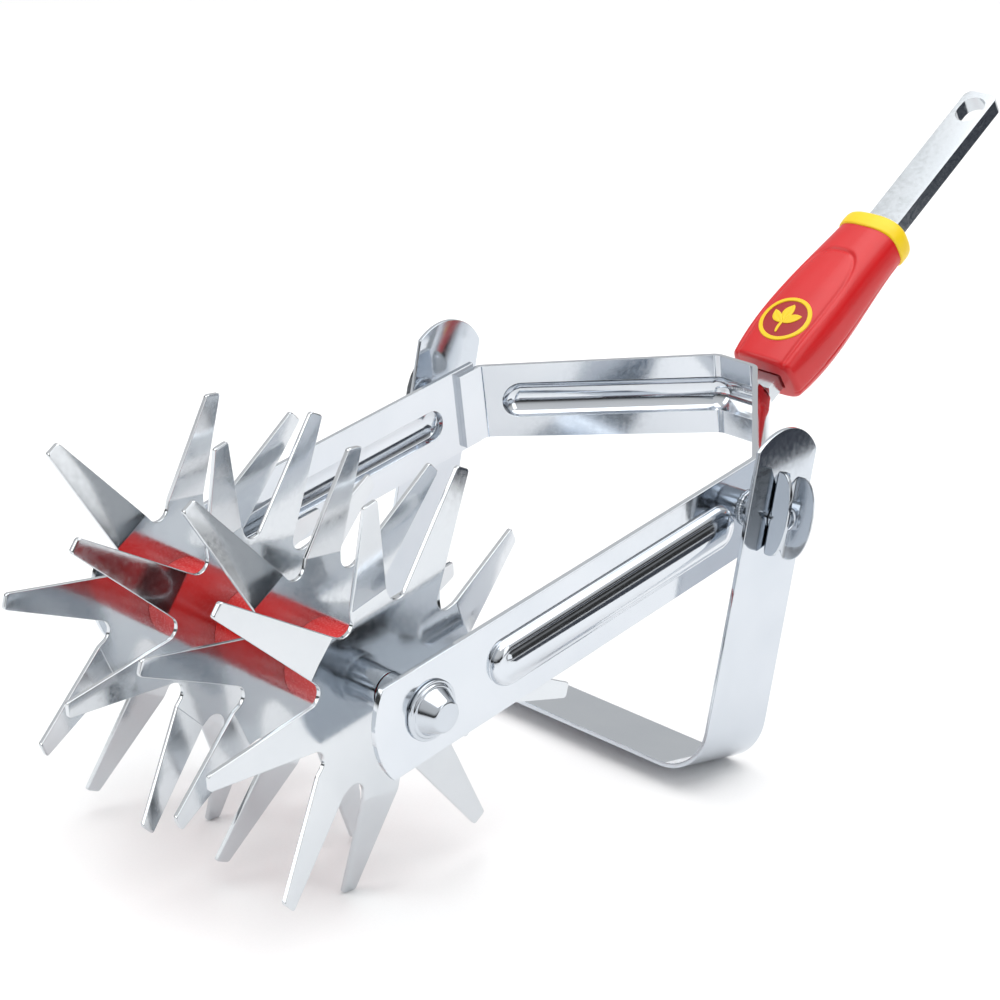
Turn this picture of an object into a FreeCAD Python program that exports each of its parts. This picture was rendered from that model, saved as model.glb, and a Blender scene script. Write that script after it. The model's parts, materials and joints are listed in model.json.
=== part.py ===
import FreeCAD, Part
import math
import os
import Sketcher
from FreeCAD import Placement, Rotation, Vector

# Hand soil crumbler: four spiked star discs on an axle between two side arms, a
# swinging weeding stirrup held by wing nuts, and a gripped bar that plugs into a pole.
#
# Every sub-part is drawn in the tool frame: origin on the middle of the axle, X across
# the tool, Y towards the handle, Z square to the side arms.  At the end the whole tool
# is tipped until the star tips and the stirrup blade stand on the ground together.

X_AXIS = Vector(1, 0, 0)
Y_AXIS = Vector(0, 1, 0)
Z_AXIS = Vector(0, 0, 1)
ALONG_X = Rotation(Y_AXIS, 90)
HALF_TURN = Rotation(Z_AXIS, 180)
SIDES = (("left", -1), ("right", 1))
TINES = 9
DISCS = 4
SAME_PLACE = 1e-6
SAME_EDGE = 0.01

# name, value in millimetres (angles in degrees), what it measures
DRIVING = [
    ("arm_gauge", 2.5, "sheet thickness of the side arms and the yoke"),
    ("arm_height", 40, "width of the strip that the arms are cut from"),
    ("frame_width", 168, "outside to outside of the two arms"),
    ("arm_reach", 196, "axle to the rear end of an arm"),
    ("arm_nose", 28, "axle to the front of the rounded nose"),
    ("nose_radius", 34, "rounding of the nose"),
    ("bead_front", 32, "axle to the front end of the pressed bead"),
    ("bead_margin", 20, "rear end of the pressed bead to the rear end of an arm"),
    ("bead_width", 19.4, "width of the bead in an arm"),
    ("bead_rise", 3.8, "how far the bead stands out of the arm"),
    ("bead_edge", 3.4, "rounding along the top of that bead"),
    ("yoke_gap", 2.5, "rear end of an arm to the bend where the yoke turns inwards"),
    ("yoke_depth", 86.5, "that bend to the rear face of the yoke's middle"),
    ("yoke_flat", 23, "width of the yoke's flat middle"),
    ("yoke_tab", 14, "length of the tab that laps an arm"),
    ("yoke_end_height", 36, "height of the yoke beside the arms"),
    ("yoke_mid_height", 40, "height of the yoke's middle"),
    ("yoke_drop", 13, "how far the yoke's middle sits below the arms"),
    ("yoke_bend", 4, "inner radius of the yoke's bends"),
    ("yoke_bead_radius", 12, "radius of the bead pressed along the yoke"),
    ("yoke_bead_inset", 4, "centre of that bead inside the sheet's inner face"),
    ("yoke_bead_start", 10, "the yoke's first bend to the centre of the bead's round end"),
    ("yoke_weld_leg", 2, "leg of the weld between arm and yoke"),
    ("yoke_weld_length", 30, "length of that weld"),
    ("axle_dia", 10, "axle rod"),
    ("axle_stub", 5.5, "axle beyond the outer face of an arm"),
    ("cap_flange_dia", 24.4, "flange of the push-on axle cap"),
    ("cap_flange", 2, "thickness of that flange"),
    ("cap_base_dia", 19, "cone of the cap where it leaves the flange"),
    ("cap_top_dia", 12.7, "flat top of the cap"),
    ("cap_height", 9, "height of the cap over the arm"),
    ("sleeve_dia", 16, "steel sleeves beside the arms"),
    ("washer_dia", 20, "thrust washers"),
    ("thrust_washer", 4, "thickness of the washer between arm and sleeve"),
    ("roller_play", 0.3, "end play of the star roller at each side"),
    ("fit_clear", 0.1, "difference in diameter of a running fit"),
    ("disc_spacing", 40.8, "star disc to star disc"),
    ("disc_gauge", 2, "plate thickness of a star disc"),
    ("tip_radius", 89, "axle to a tine's tip"),
    ("tip_width", 6.6, "width of a tine's tip"),
    ("tip_round", 1.4, "rounding of a tip's two corners"),
    ("valley_radius", 31, "axle to the corner where two tines would meet"),
    ("valley_fillet", 5, "rounding between two tines"),
    ("bend_line", 42, "axle to the line where a tine is set sideways"),
    ("bend_inside", 2, "inner radius of that bend"),
    ("bend_angle", 16, "how far a set tine leans out of its disc"),
    ("disc_phase", 175.4, "angle of the right-hand disc's first tine"),
    ("disc_step", 20, "each disc is turned this far against its neighbour"),
    ("hub_flats", 14, "across the flats of the hexagon that keys a disc"),
    ("spacer_dia", 34, "spacer tubes between the discs"),
    ("pivot_inset", 8, "the stirrup's pivot to the rear end of an arm"),
    ("shoulder_dia", 13, "shoulder of the pivot stud"),
    ("shoulder_length", 12.5, "length of that shoulder"),
    ("thread_dia", 8, "threaded end of the pivot stud"),
    ("thread_length", 7.5, "length of that thread"),
    ("stud_weld_leg", 1.5, "leg of the weld around a stud"),
    ("stirrup_gauge", 2, "thickness of the stirrup strip"),
    ("stirrup_width", 39, "width of the stirrup strip"),
    ("stirrup_depth", 114, "pivot to the underside of the blade"),
    ("stirrup_corner", 22, "outer radius of the stirrup's two corners"),
    ("stirrup_top", 38, "pivot to the rounded top of a leg"),
    ("stirrup_shoulder", 28.5, "pivot to the corners under that rounded top"),
    ("stirrup_slant", 20.5, "lean of the legs towards the stars"),
    ("stirrup_play", 0.2, "side play between stud, stirrup and nut"),
    ("nut_gauge", 1.6, "sheet thickness of the wing nut"),
    ("nut_width", 14.6, "across the folds of the wing nut"),
    ("nut_length", 37, "length of a wing"),
    ("nut_wing", 12, "height of a wing"),
    ("nut_flare", 14, "lean of a wing out of square"),
    ("nut_hub_dia", 13, "barrel of the wing nut"),
    ("nut_hub", 6, "height of that barrel"),
    ("nut_corner", 9, "rounding of a wing's corners"),
    ("handle_rise", 24, "lean of the handle above the arms"),
    ("handle_drop", 18.5, "handle axis below the arms at the yoke's rear face"),
    ("tang_width", 18, "width of the plug-in bar"),
    ("tang_gauge", 8, "thickness of the plug-in bar"),
    ("tang_end", 215, "yoke to the end of the bar, along the handle"),
    ("tang_corner", 4, "rounding of the bar's end"),
    ("tang_hole_inset", 12, "middle of the snap hole to the end of the bar"),
    ("tang_hole_width", 13, "width of the snap hole"),
    ("tang_hole_length", 16.5, "length of the snap hole"),
    ("neck_length", 9, "length of the weld between yoke and bar"),
    ("neck_foot_side", 4.5, "how far that weld stands out beside the bar, on the yoke"),
    ("neck_foot_cover", 5, "how far it stands out over the bar, on the yoke"),
    ("neck_end_side", 1, "how far it stands out beside the bar, at its other end"),
    ("neck_end_cover", 1.5, "how far it stands out over the bar, at its other end"),
    ("grip_start", 21, "yoke to the lower end of the grip"),
    ("grip_belly", 53, "yoke to the grip's widest place"),
    ("grip_waist", 82, "yoke to the place where the belly has run out"),
    ("grip_end", 110.5, "yoke to the grip's upper end"),
    ("grip_low_width", 34, "grip width at its lower end"),
    ("grip_low_height", 25, "grip thickness at its lower end"),
    ("grip_mid_width", 38.5, "grip width at the belly"),
    ("grip_mid_height", 29, "grip thickness at the belly"),
    ("grip_waist_width", 35.4, "grip width past the belly"),
    ("grip_waist_height", 27, "grip thickness past the belly"),
    ("grip_top_width", 32, "grip width under the collar"),
    ("grip_top_height", 24.5, "grip thickness under the collar"),
    ("grip_edge", 8, "rounding of the grip's long edges"),
    ("grip_lift", 1.1, "middle of the grip above the middle of the bar"),
    ("collar_length", 9.5, "length of the collar"),
    ("collar_width", 33.5, "width of the collar"),
    ("collar_height", 26, "thickness of the collar"),
    ("badge_place", 45, "yoke to the middle of the badge"),
    ("badge_dia", 26, "badge on the grip"),
    ("badge_gauge", 2, "thickness of the badge"),
    ("badge_proud", 0.4, "how far the badge stands out of the grip"),
]

# sizes that follow from the ones above
DERIVED = [
    ("arm_half", "=arm_height/2"),
    ("nose_centre", "=nose_radius - arm_nose"),
    ("nose_corner", "=sqrt(nose_radius^2 - arm_half^2) - nose_centre"),
    ("bead_back", "=arm_reach - bead_margin"),
    ("bead_half", "=bead_width/2"),
    ("bead_first", "=bead_front + bead_half"),
    ("bead_last", "=bead_back - bead_half"),
    ("groove_half", "=bead_half - arm_gauge"),
    ("arm_outer", "=frame_width/2"),
    ("arm_inner", "=arm_outer - arm_gauge"),
    ("axle_radius", "=axle_dia/2"),
    ("running_radius", "=(axle_dia + fit_clear)/2"),
    ("axle_length", "=frame_width + 2*axle_stub"),
    ("thread_radius", "=thread_dia/2"),
    ("pivot_radius", "=(thread_dia + fit_clear)/2"),
    ("roller_half", "=disc_spacing*1.5 + disc_gauge/2"),
    ("sleeve_length", "=arm_inner - thrust_washer - roller_half - roller_play"),
    ("spacer_length", "=disc_spacing - disc_gauge"),
    ("half_pitch", "=180/%d" % TINES),
    ("half_gauge", "=disc_gauge/2"),
    ("tip_half", "=tip_width/2"),
    ("valley_along", "=valley_radius*cos(half_pitch)"),
    ("valley_across", "=valley_radius*sin(half_pitch)"),
    ("bend_centre", "=half_gauge + bend_inside"),
    ("bend_outside", "=bend_inside + disc_gauge"),
    ("set_inside_across", "=bend_centre - bend_inside*cos(bend_angle)"),
    ("set_inside_along", "=bend_line + bend_inside*sin(bend_angle)"),
    ("set_outside_across", "=bend_centre - bend_outside*cos(bend_angle)"),
    ("set_outside_along", "=bend_line + bend_outside*sin(bend_angle)"),
    ("set_length", "=(tip_radius - bend_line)/cos(bend_angle)"),
    ("end_inside_across", "=set_inside_across + set_length*sin(bend_angle)"),
    ("end_inside_along", "=set_inside_along + set_length*cos(bend_angle)"),
    ("end_outside_across", "=set_outside_across + set_length*sin(bend_angle)"),
    ("end_outside_along", "=set_outside_along + set_length*cos(bend_angle)"),
    ("set_width", "=valley_across*2"),
    ("star_depth", "=(end_inside_across + disc_gauge)*2"),
    ("hub_hole_radius", "=hub_flats/2/cos(30)"),
    ("hub_key_radius", "=(hub_flats - fit_clear)/2/cos(30)"),
    ("hub_key", "=half_gauge - fit_clear"),
    ("pivot_reach", "=arm_reach - pivot_inset"),
    ("stirrup_inner", "=arm_outer + shoulder_length + stirrup_play"),
    ("stirrup_outer", "=stirrup_inner + stirrup_gauge"),
    ("stirrup_floor", "=stirrup_depth - stirrup_gauge"),
    ("stirrup_half", "=stirrup_width/2"),
    ("corner_across", "=stirrup_outer - stirrup_corner"),
    ("corner_down", "=stirrup_depth - stirrup_corner"),
    ("crown", "=stirrup_top - stirrup_shoulder"),
    ("crown_centre", "=stirrup_top - (stirrup_half^2 + crown^2)/(2*crown)"),
    ("yoke_start", "=arm_reach + yoke_gap"),
    ("yoke_back", "=yoke_start + yoke_depth"),
    ("yoke_middle", "=yoke_flat/2"),
    ("yoke_lean", "=atan2(arm_inner - yoke_middle; yoke_depth)"),
    ("yoke_side_inner", "=arm_inner - arm_gauge"),
    ("yoke_start_inner", "=yoke_start - arm_gauge*tan(yoke_lean/2)"),
    ("yoke_middle_inner", "=yoke_middle - arm_gauge*cos(yoke_lean)/(1 + sin(yoke_lean))"),
    ("yoke_back_inner", "=yoke_back - arm_gauge"),
    ("yoke_tab_front", "=yoke_start - yoke_tab"),
    ("yoke_bend_outer", "=yoke_bend + arm_gauge"),
    ("yoke_end_half", "=yoke_end_height/2"),
    ("yoke_mid_top", "=yoke_mid_height/2 - yoke_drop"),
    ("yoke_mid_foot", "=yoke_mid_height/2 + yoke_drop"),
    ("yoke_trough_radius", "=yoke_bead_radius - arm_gauge"),
    ("yoke_tall", "=yoke_mid_height + yoke_drop*2"),
    ("weld_side", "=arm_inner + yoke_weld_leg"),
    ("weld_end", "=arm_reach + yoke_weld_leg"),
    ("tang_half", "=tang_width/2"),
    ("tang_rise", "=tang_gauge/2"),
    ("tang_slope", "=tang_rise*tan(handle_rise)"),
    ("slot_half", "=tang_hole_width/2"),
    ("tang_hole_place", "=tang_end - tang_hole_inset"),
    ("slot_first", "=tang_hole_place - tang_hole_length/2 + slot_half"),
    ("slot_last", "=tang_hole_place + tang_hole_length/2 - slot_half"),
    ("neck_lift", "=neck_length*tan(handle_rise)"),
    ("neck_foot_half", "=tang_half + neck_foot_side"),
    ("neck_foot_rise", "=tang_rise + neck_foot_cover"),
    ("neck_end_half", "=tang_half + neck_end_side"),
    ("neck_end_rise", "=tang_rise + neck_end_cover"),
    ("nut_half", "=nut_width/2"),
    ("nut_long", "=nut_length/2"),
    ("nut_lip", "=nut_half + nut_wing*tan(nut_flare)"),
    ("nut_lip_inner", "=nut_lip - nut_gauge/cos(nut_flare)"),
    ("nut_root", "=nut_half + nut_gauge*tan(nut_flare) - nut_gauge/cos(nut_flare)"),
    ("nut_wing_flat", "=nut_wing - nut_corner"),
    ("nut_long_flat", "=nut_long - nut_corner"),
]

# half sizes of each rounded section of the handle
for section, width, height in (
    ("low", "grip_low_width", "grip_low_height"),
    ("mid", "grip_mid_width", "grip_mid_height"),
    ("waist", "grip_waist_width", "grip_waist_height"),
    ("top", "grip_top_width", "grip_top_height"),
    ("collar", "collar_width", "collar_height"),
):
    DERIVED.append((section + "_half", "=%s/2" % width))
    DERIVED.append((section + "_rise", "=%s/2" % height))
    DERIVED.append((section + "_flat", "=%s/2 - grip_edge" % width))
    DERIVED.append((section + "_side", "=%s/2 - grip_edge" % height))

doc = FreeCAD.newDocument("soil_crumbler")
sheet = doc.addObject("Spreadsheet::Sheet", "Sizes")
for row, (alias, value, meaning) in enumerate(DRIVING, start=1):
    sheet.set("A%d" % row, meaning)
    sheet.set("B%d" % row, str(value))
    sheet.setAlias("B%d" % row, alias)
for row, (alias, formula) in enumerate(DERIVED, start=len(DRIVING) + 1):
    sheet.set("A%d" % row, alias.replace("_", " "))
    sheet.set("B%d" % row, formula)
    sheet.setAlias("B%d" % row, alias)
doc.recompute()

nodes = {}


def size(alias):
    return float(sheet.get(alias))


def signed(token):
    """Value of a cell name; a leading minus sign negates it and 0 is the axis."""
    if token == "0":
        return 0.0
    return -size(token[1:]) if token.startswith("-") else size(token)


def keep(thing, label, place):
    """Name a finished sub-part and note where it stands in the tool frame."""
    thing.Label = label
    nodes[label] = (thing, place)


# ---------------------------------------------------------------- drawing helpers
def new_sketch(body, plane, offset=None):
    """Sketch on one of the body's origin planes, shifted along or turned about it."""
    sketch = body.newObject("Sketcher::SketchObject", "Outline")
    origin_plane = [item for item in body.Origin.OriginFeatures if item.Role == plane][0]
    sketch.AttachmentSupport = [(origin_plane, "")]
    sketch.MapMode = "FlatFace"
    if offset is not None:
        sketch.AttachmentOffset = offset
    return sketch


def tie(sketch, kind, geo, point, token):
    """Hold one coordinate of a sketch point at the cell that the token names."""
    value = signed(token)
    if token == "0":
        axis = -2 if kind == "DistanceX" else -1
        sketch.addConstraint(Sketcher.Constraint("PointOnObject", geo, point, axis))
        return
    ends = (-1, 1, geo, point) if value > 0 else (geo, point, -1, 1)
    row = sketch.addConstraint(Sketcher.Constraint(kind, *ends, abs(value)))
    sign = "-" if (value > 0) == token.startswith("-") else ""
    sketch.setExpression("Constraints[%d]" % row, sign + "Sizes." + token.lstrip("-"))


def outline(sketch, corners, arcs=None):
    """Closed outline through corners, each a pair of cell names.

    arcs maps an edge's number to (centre across, centre up, turn): that edge is an
    arc about the centre, anticlockwise for a turn of 1 and clockwise for -1.
    """
    arcs = arcs or {}
    points = [Vector(signed(across), signed(up), 0) for across, up in corners]
    edges = []
    for number, start in enumerate(points):
        end = points[(number + 1) % len(points)]
        if number not in arcs:
            edges.append((sketch.addGeometry(Part.LineSegment(start, end)), 1, 2))
            continue
        across, up, turn = arcs[number]
        centre = Vector(signed(across), signed(up), 0)
        first, last = (start, end) if turn > 0 else (end, start)
        angles = [math.atan2(point.y - centre.y, point.x - centre.x) for point in (first, last)]
        if angles[1] <= angles[0]:
            angles[1] += 2 * math.pi
        circle = Part.Circle(centre, Z_AXIS, (start - centre).Length)
        geo = sketch.addGeometry(Part.ArcOfCircle(circle, *angles))
        edges.append((geo, 1, 2) if turn > 0 else (geo, 2, 1))
        if abs(end.y - start.y) > SAME_PLACE:
            tie(sketch, "DistanceX", geo, 3, across)
        else:
            tie(sketch, "DistanceY", geo, 3, up)
    for number, (geo, first, last) in enumerate(edges):
        after = edges[(number + 1) % len(edges)]
        sketch.addConstraint(Sketcher.Constraint("Coincident", geo, last, after[0], after[1]))
        tie(sketch, "DistanceX", geo, first, corners[number][0])
        tie(sketch, "DistanceY", geo, first, corners[number][1])
    return sketch


def stadium(sketch, first, last, half):
    """Slot outline along the sketch's first axis, from centre to centre."""
    corners = [(first, "-" + half), (last, "-" + half), (last, half), (first, half)]
    return outline(sketch, corners, {1: (last, "0", 1), 3: (first, "0", 1)})


def rounded_section(sketch, name):
    """Rectangle with rounded corners, from the cells of one handle section."""
    half, rise, flat, side = (name + end for end in ("_half", "_rise", "_flat", "_side"))
    corners = [
        ("-" + flat, "-" + rise), (flat, "-" + rise),
        (half, "-" + side), (half, side),
        (flat, rise), ("-" + flat, rise),
        ("-" + half, side), ("-" + half, "-" + side),
    ]
    arcs = {
        1: (flat, "-" + side, 1),
        3: (flat, side, 1),
        5: ("-" + flat, side, 1),
        7: ("-" + flat, "-" + side, 1),
    }
    return outline(sketch, corners, arcs)


def round_hole(sketch, radius):
    """Circle on the sketch's origin."""
    geo = sketch.addGeometry(Part.Circle(Vector(), Z_AXIS, size(radius)))
    sketch.addConstraint(Sketcher.Constraint("Coincident", geo, 3, -1, 1))
    row = sketch.addConstraint(Sketcher.Constraint("Radius", geo, size(radius)))
    sketch.setExpression("Constraints[%d]" % row, "Sizes." + radius)
    return sketch


def feature(body, kind, sketch, length, midplane=False, reverse=False):
    """Pad or pocket of a given length."""
    made = body.newObject("PartDesign::" + kind, kind)
    made.Profile = sketch
    made.Midplane = midplane
    made.Reversed = reverse
    made.setExpression("Length", length)
    doc.recompute()
    return made


def fillet(body, base, chosen, radius):
    """Round the edges of the body's last feature that the test picks."""
    edges = enumerate(base.Shape.Edges, start=1)
    names = ["Edge%d" % number for number, edge in edges if chosen(edge)]
    rounded = body.newObject("PartDesign::Fillet", "Fillet")
    rounded.Base = (base, names)
    rounded.setExpression("Radius", radius)
    doc.recompute()
    return rounded


def straight_along(edge, axis):
    """True for a straight edge parallel to the axis."""
    return edge.Curve.TypeId == "Part::GeomLine" and abs(edge.Curve.Direction.dot(axis)) > 0.999


def at_corners(corners):
    """Test for the upright edges that stand on the corners of an outline."""
    points = [Vector(signed(across), signed(up), 0) for across, up in corners]

    def chosen(edge):
        middle = edge.CenterOfMass
        flat = Vector(middle.x, middle.y, 0)
        off = min(flat.distanceToPoint(point) for point in points)
        return straight_along(edge, Z_AXIS) and off < SAME_EDGE

    return chosen


def primitive(kind, place=None, **sizes):
    """Part primitive whose properties are bound to formulas of cells."""
    made = doc.addObject("Part::" + kind, kind)
    for name, formula in sizes.items():
        made.setExpression(name, formula)
    if place is not None:
        made.Placement = place
    return made


def cut(base, tool):
    made = doc.addObject("Part::Cut", "Cut")
    made.Base = base
    made.Tool = tool
    return made


def joined(kind, shapes):
    """Part::MultiFuse or Part::MultiCommon of several objects."""
    made = doc.addObject("Part::" + kind, kind)
    made.Shapes = shapes
    return made


def tube(outer, bore, height):
    """Round tube along X, standing on the YZ plane."""
    place = Placement(Vector(), ALONG_X)
    solid = primitive("Cylinder", place, Radius=outer, Height=height)
    hole = primitive("Cylinder", place, Radius=bore, Height=height)
    return cut(solid, hole)


def on_side(side, away, along=0.0):
    """Place for a piece drawn pointing along +X, at one side of the tool."""
    return Placement(Vector(side * away, along, 0), Rotation() if side > 0 else HALF_TURN)


# ---------------------------------------------------------------- frame
def make_arm(name, side):
    """Flat arm with a rounded nose, an axle hole and a bead pressed outwards."""
    body = doc.addObject("PartDesign::Body", "Arm")
    corners = [
        ("-nose_corner", "-arm_half"), ("arm_reach", "-arm_half"),
        ("arm_reach", "arm_half"), ("-nose_corner", "arm_half"),
    ]
    plate = outline(new_sketch(body, "YZ_Plane"), corners, {3: ("nose_centre", "0", 1)})
    feature(body, "Pad", plate, "Sizes.arm_gauge")
    bead = stadium(new_sketch(body, "YZ_Plane"), "bead_first", "bead_last", "bead_half")
    raised = feature(body, "Pad", bead, "Sizes.arm_gauge + Sizes.bead_rise")
    top = size("arm_gauge") + size("bead_rise")
    fillet(body, raised, lambda edge: abs(edge.BoundBox.XMin - top) < SAME_PLACE, "Sizes.bead_edge")
    groove = stadium(new_sketch(body, "YZ_Plane"), "bead_first", "bead_last", "groove_half")
    feature(body, "Pocket", groove, "Sizes.bead_rise", reverse=True)
    hole = round_hole(new_sketch(body, "YZ_Plane"), "running_radius")
    feature(body, "Pocket", hole, "Sizes.arm_gauge*3", midplane=True)
    turn = Rotation() if side > 0 else Rotation(Y_AXIS, 180)
    keep(body, "arm_" + name, Placement(Vector(side * size("arm_inner"), 0, 0), turn))


def yoke_bead(radius):
    """Round bar that follows the yoke's middle line from bead end to bead end."""
    lean = math.radians(size("yoke_lean"))
    inset = size("arm_gauge") + size("yoke_bead_inset")
    back = size("yoke_back") - inset
    turn = size("yoke_middle") - inset * math.cos(lean) / (1 + math.sin(lean))
    slope = size("yoke_drop") / size("yoke_depth")
    front = size("yoke_start") + size("yoke_bead_start")
    side = turn + (back - front) * math.tan(lean)
    corners = [
        Vector(x, y, -slope * (y - size("yoke_start")))
        for x, y in ((side, front), (turn, back), (-turn, back), (-side, front))
    ]
    pieces = []
    for corner in corners:
        pieces.append(primitive("Sphere", Placement(corner, Rotation()), Radius=radius))
    for start, end in zip(corners, corners[1:]):
        bar = primitive("Cylinder", Placement(start, Rotation(Z_AXIS, end - start)), Radius=radius)
        bar.Height = (end - start).Length
        pieces.append(bar)
    return joined("MultiFuse", pieces)


def make_yoke():
    """Folded strip between the arms and the handle, with a bead pressed rearwards."""
    strip = doc.addObject("PartDesign::Body", "YokeStrip")
    outer = [
        ("arm_inner", "yoke_tab_front"), ("arm_inner", "yoke_start"), ("yoke_middle", "yoke_back"),
        ("-yoke_middle", "yoke_back"), ("-arm_inner", "yoke_start"), ("-arm_inner", "yoke_tab_front"),
    ]
    inner = [
        ("-yoke_side_inner", "yoke_tab_front"), ("-yoke_side_inner", "yoke_start_inner"),
        ("-yoke_middle_inner", "yoke_back_inner"), ("yoke_middle_inner", "yoke_back_inner"),
        ("yoke_side_inner", "yoke_start_inner"), ("yoke_side_inner", "yoke_tab_front"),
    ]
    plan = outline(new_sketch(strip, "XY_Plane"), outer + inner)
    folded = feature(strip, "Pad", plan, "Sizes.yoke_tall", midplane=True)
    folded = fillet(strip, folded, at_corners(outer[1:5]), "Sizes.yoke_bend_outer")
    fillet(strip, folded, at_corners(inner[1:5]), "Sizes.yoke_bend")

    side_view = doc.addObject("PartDesign::Body", "YokeSideView")
    edges = [
        ("yoke_tab_front", "-yoke_end_half"), ("yoke_start", "-yoke_end_half"),
        ("yoke_back", "-yoke_mid_foot"), ("yoke_back", "yoke_mid_top"),
        ("yoke_start", "yoke_end_half"), ("yoke_tab_front", "yoke_end_half"),
    ]
    profile = outline(new_sketch(side_view, "YZ_Plane"), edges)
    feature(side_view, "Pad", profile, "Sizes.frame_width", midplane=True)
    bare = joined("MultiCommon", [strip, side_view])

    inside = doc.addObject("PartDesign::Body", "YokeInside")
    room = outline(new_sketch(inside, "XY_Plane"), inner)
    within = feature(inside, "Pad", room, "Sizes.yoke_tall", midplane=True)
    fillet(inside, within, at_corners(inner[1:5]), "Sizes.yoke_bend")
    raised = cut(yoke_bead("Sizes.yoke_bead_radius"), inside)
    pressed = cut(joined("MultiFuse", [bare, raised]), yoke_bead("Sizes.yoke_trough_radius"))
    keep(pressed, "yoke", Placement())


def make_yoke_weld(name, side):
    """Fillet weld in the corner between an arm's rear end and the yoke."""
    body = doc.addObject("PartDesign::Body", "YokeWeld")
    corners = [("arm_inner", "arm_reach"), ("weld_side", "arm_reach"), ("arm_inner", "weld_end")]
    section = outline(new_sketch(body, "XY_Plane"), corners)
    feature(body, "Pad", section, "Sizes.yoke_weld_length", midplane=True)
    turn = Rotation() if side > 0 else Rotation(Y_AXIS, 180)
    keep(body, "yoke_weld_" + name, Placement(Vector(), turn))


def make_stud(name, side):
    """Shouldered stud whose threaded end is left plain, and the weld around its foot."""
    along = Placement(Vector(), ALONG_X)
    shoulder = primitive("Cylinder", along, Radius="Sizes.shoulder_dia/2", Height="Sizes.shoulder_length")
    thread = primitive(
        "Cylinder", along, Radius="Sizes.thread_radius",
        Height="Sizes.shoulder_length + Sizes.thread_length",
    )
    place = on_side(side, size("arm_outer"), size("pivot_reach"))
    keep(joined("MultiFuse", [shoulder, thread]), "pivot_stud_" + name, place)
    cone = primitive(
        "Cone", along, Radius1="Sizes.shoulder_dia/2 + Sizes.stud_weld_leg",
        Radius2="Sizes.shoulder_dia/2", Height="Sizes.stud_weld_leg",
    )
    core = primitive("Cylinder", along, Radius="Sizes.shoulder_dia/2", Height="Sizes.stud_weld_leg")
    keep(cut(cone, core), "stud_weld_" + name, place)


def make_axle():
    """Rod through both arms, with a cap, a washer and a sleeve at each end."""
    rod = primitive("Cylinder", Placement(), Radius="Sizes.axle_radius", Height="Sizes.axle_length")
    keep(rod, "axle_rod", Placement(Vector(-size("axle_length") / 2, 0, 0), ALONG_X))
    along = Placement(Vector(), ALONG_X)
    for name, side in SIDES:
        flange = primitive("Cylinder", along, Radius="Sizes.cap_flange_dia/2", Height="Sizes.cap_flange")
        cone = primitive(
            "Cone", Placement(Vector(size("cap_flange"), 0, 0), ALONG_X), Radius1="Sizes.cap_base_dia/2",
            Radius2="Sizes.cap_top_dia/2", Height="Sizes.cap_height - Sizes.cap_flange",
        )
        bore = primitive("Cylinder", along, Radius="Sizes.axle_radius", Height="Sizes.axle_stub")
        cap = cut(joined("MultiFuse", [flange, cone]), bore)
        keep(cap, "axle_cap_" + name, on_side(side, size("arm_outer")))
        washer = tube("Sizes.washer_dia/2", "Sizes.axle_radius", "Sizes.thrust_washer")
        washer_face = size("arm_inner") - size("thrust_washer")
        keep(washer, "thrust_washer_" + name, on_side(side, washer_face))
        sleeve = tube("Sizes.sleeve_dia/2", "Sizes.axle_radius", "Sizes.sleeve_length")
        keep(sleeve, "end_sleeve_" + name, on_side(side, washer_face - size("sleeve_length")))


# ---------------------------------------------------------------- star roller
def star_prism():
    """Deep prism of the nine-tined outline, rounded in its valleys and at its tips."""
    body = doc.addObject("PartDesign::Body", "StarOutline")
    corners = [
        ("0", "0"), ("valley_along", "-valley_across"), ("tip_radius", "-tip_half"),
        ("tip_radius", "tip_half"), ("valley_along", "valley_across"),
    ]
    sector = outline(new_sketch(body, "YZ_Plane"), corners)
    star = around(body, feature(body, "Pad", sector, "Sizes.star_depth", midplane=True), TINES)

    def at_radius(radius):
        def chosen(edge):
            middle = edge.CenterOfMass
            off = abs(math.hypot(middle.y, middle.z) - radius)
            return straight_along(edge, X_AXIS) and off < SAME_EDGE
        return chosen

    star = fillet(body, star, at_radius(size("valley_radius")), "Sizes.valley_fillet")
    fillet(body, star, at_radius(math.hypot(size("tip_radius"), size("tip_half"))), "Sizes.tip_round")
    return body


def around(body, pad, count):
    """Copies of a pad turned about the tool's X axis."""
    pattern = body.newObject("PartDesign::PolarPattern", "Around")
    pattern.Originals = [pad]
    axis = [item for item in body.Origin.OriginFeatures if item.Role == "X_Axis"][0]
    pattern.Axis = (axis, [""])
    pattern.Angle = 360
    pattern.Occurrences = count
    body.Tip = pattern
    doc.recompute()
    return pattern


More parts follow.
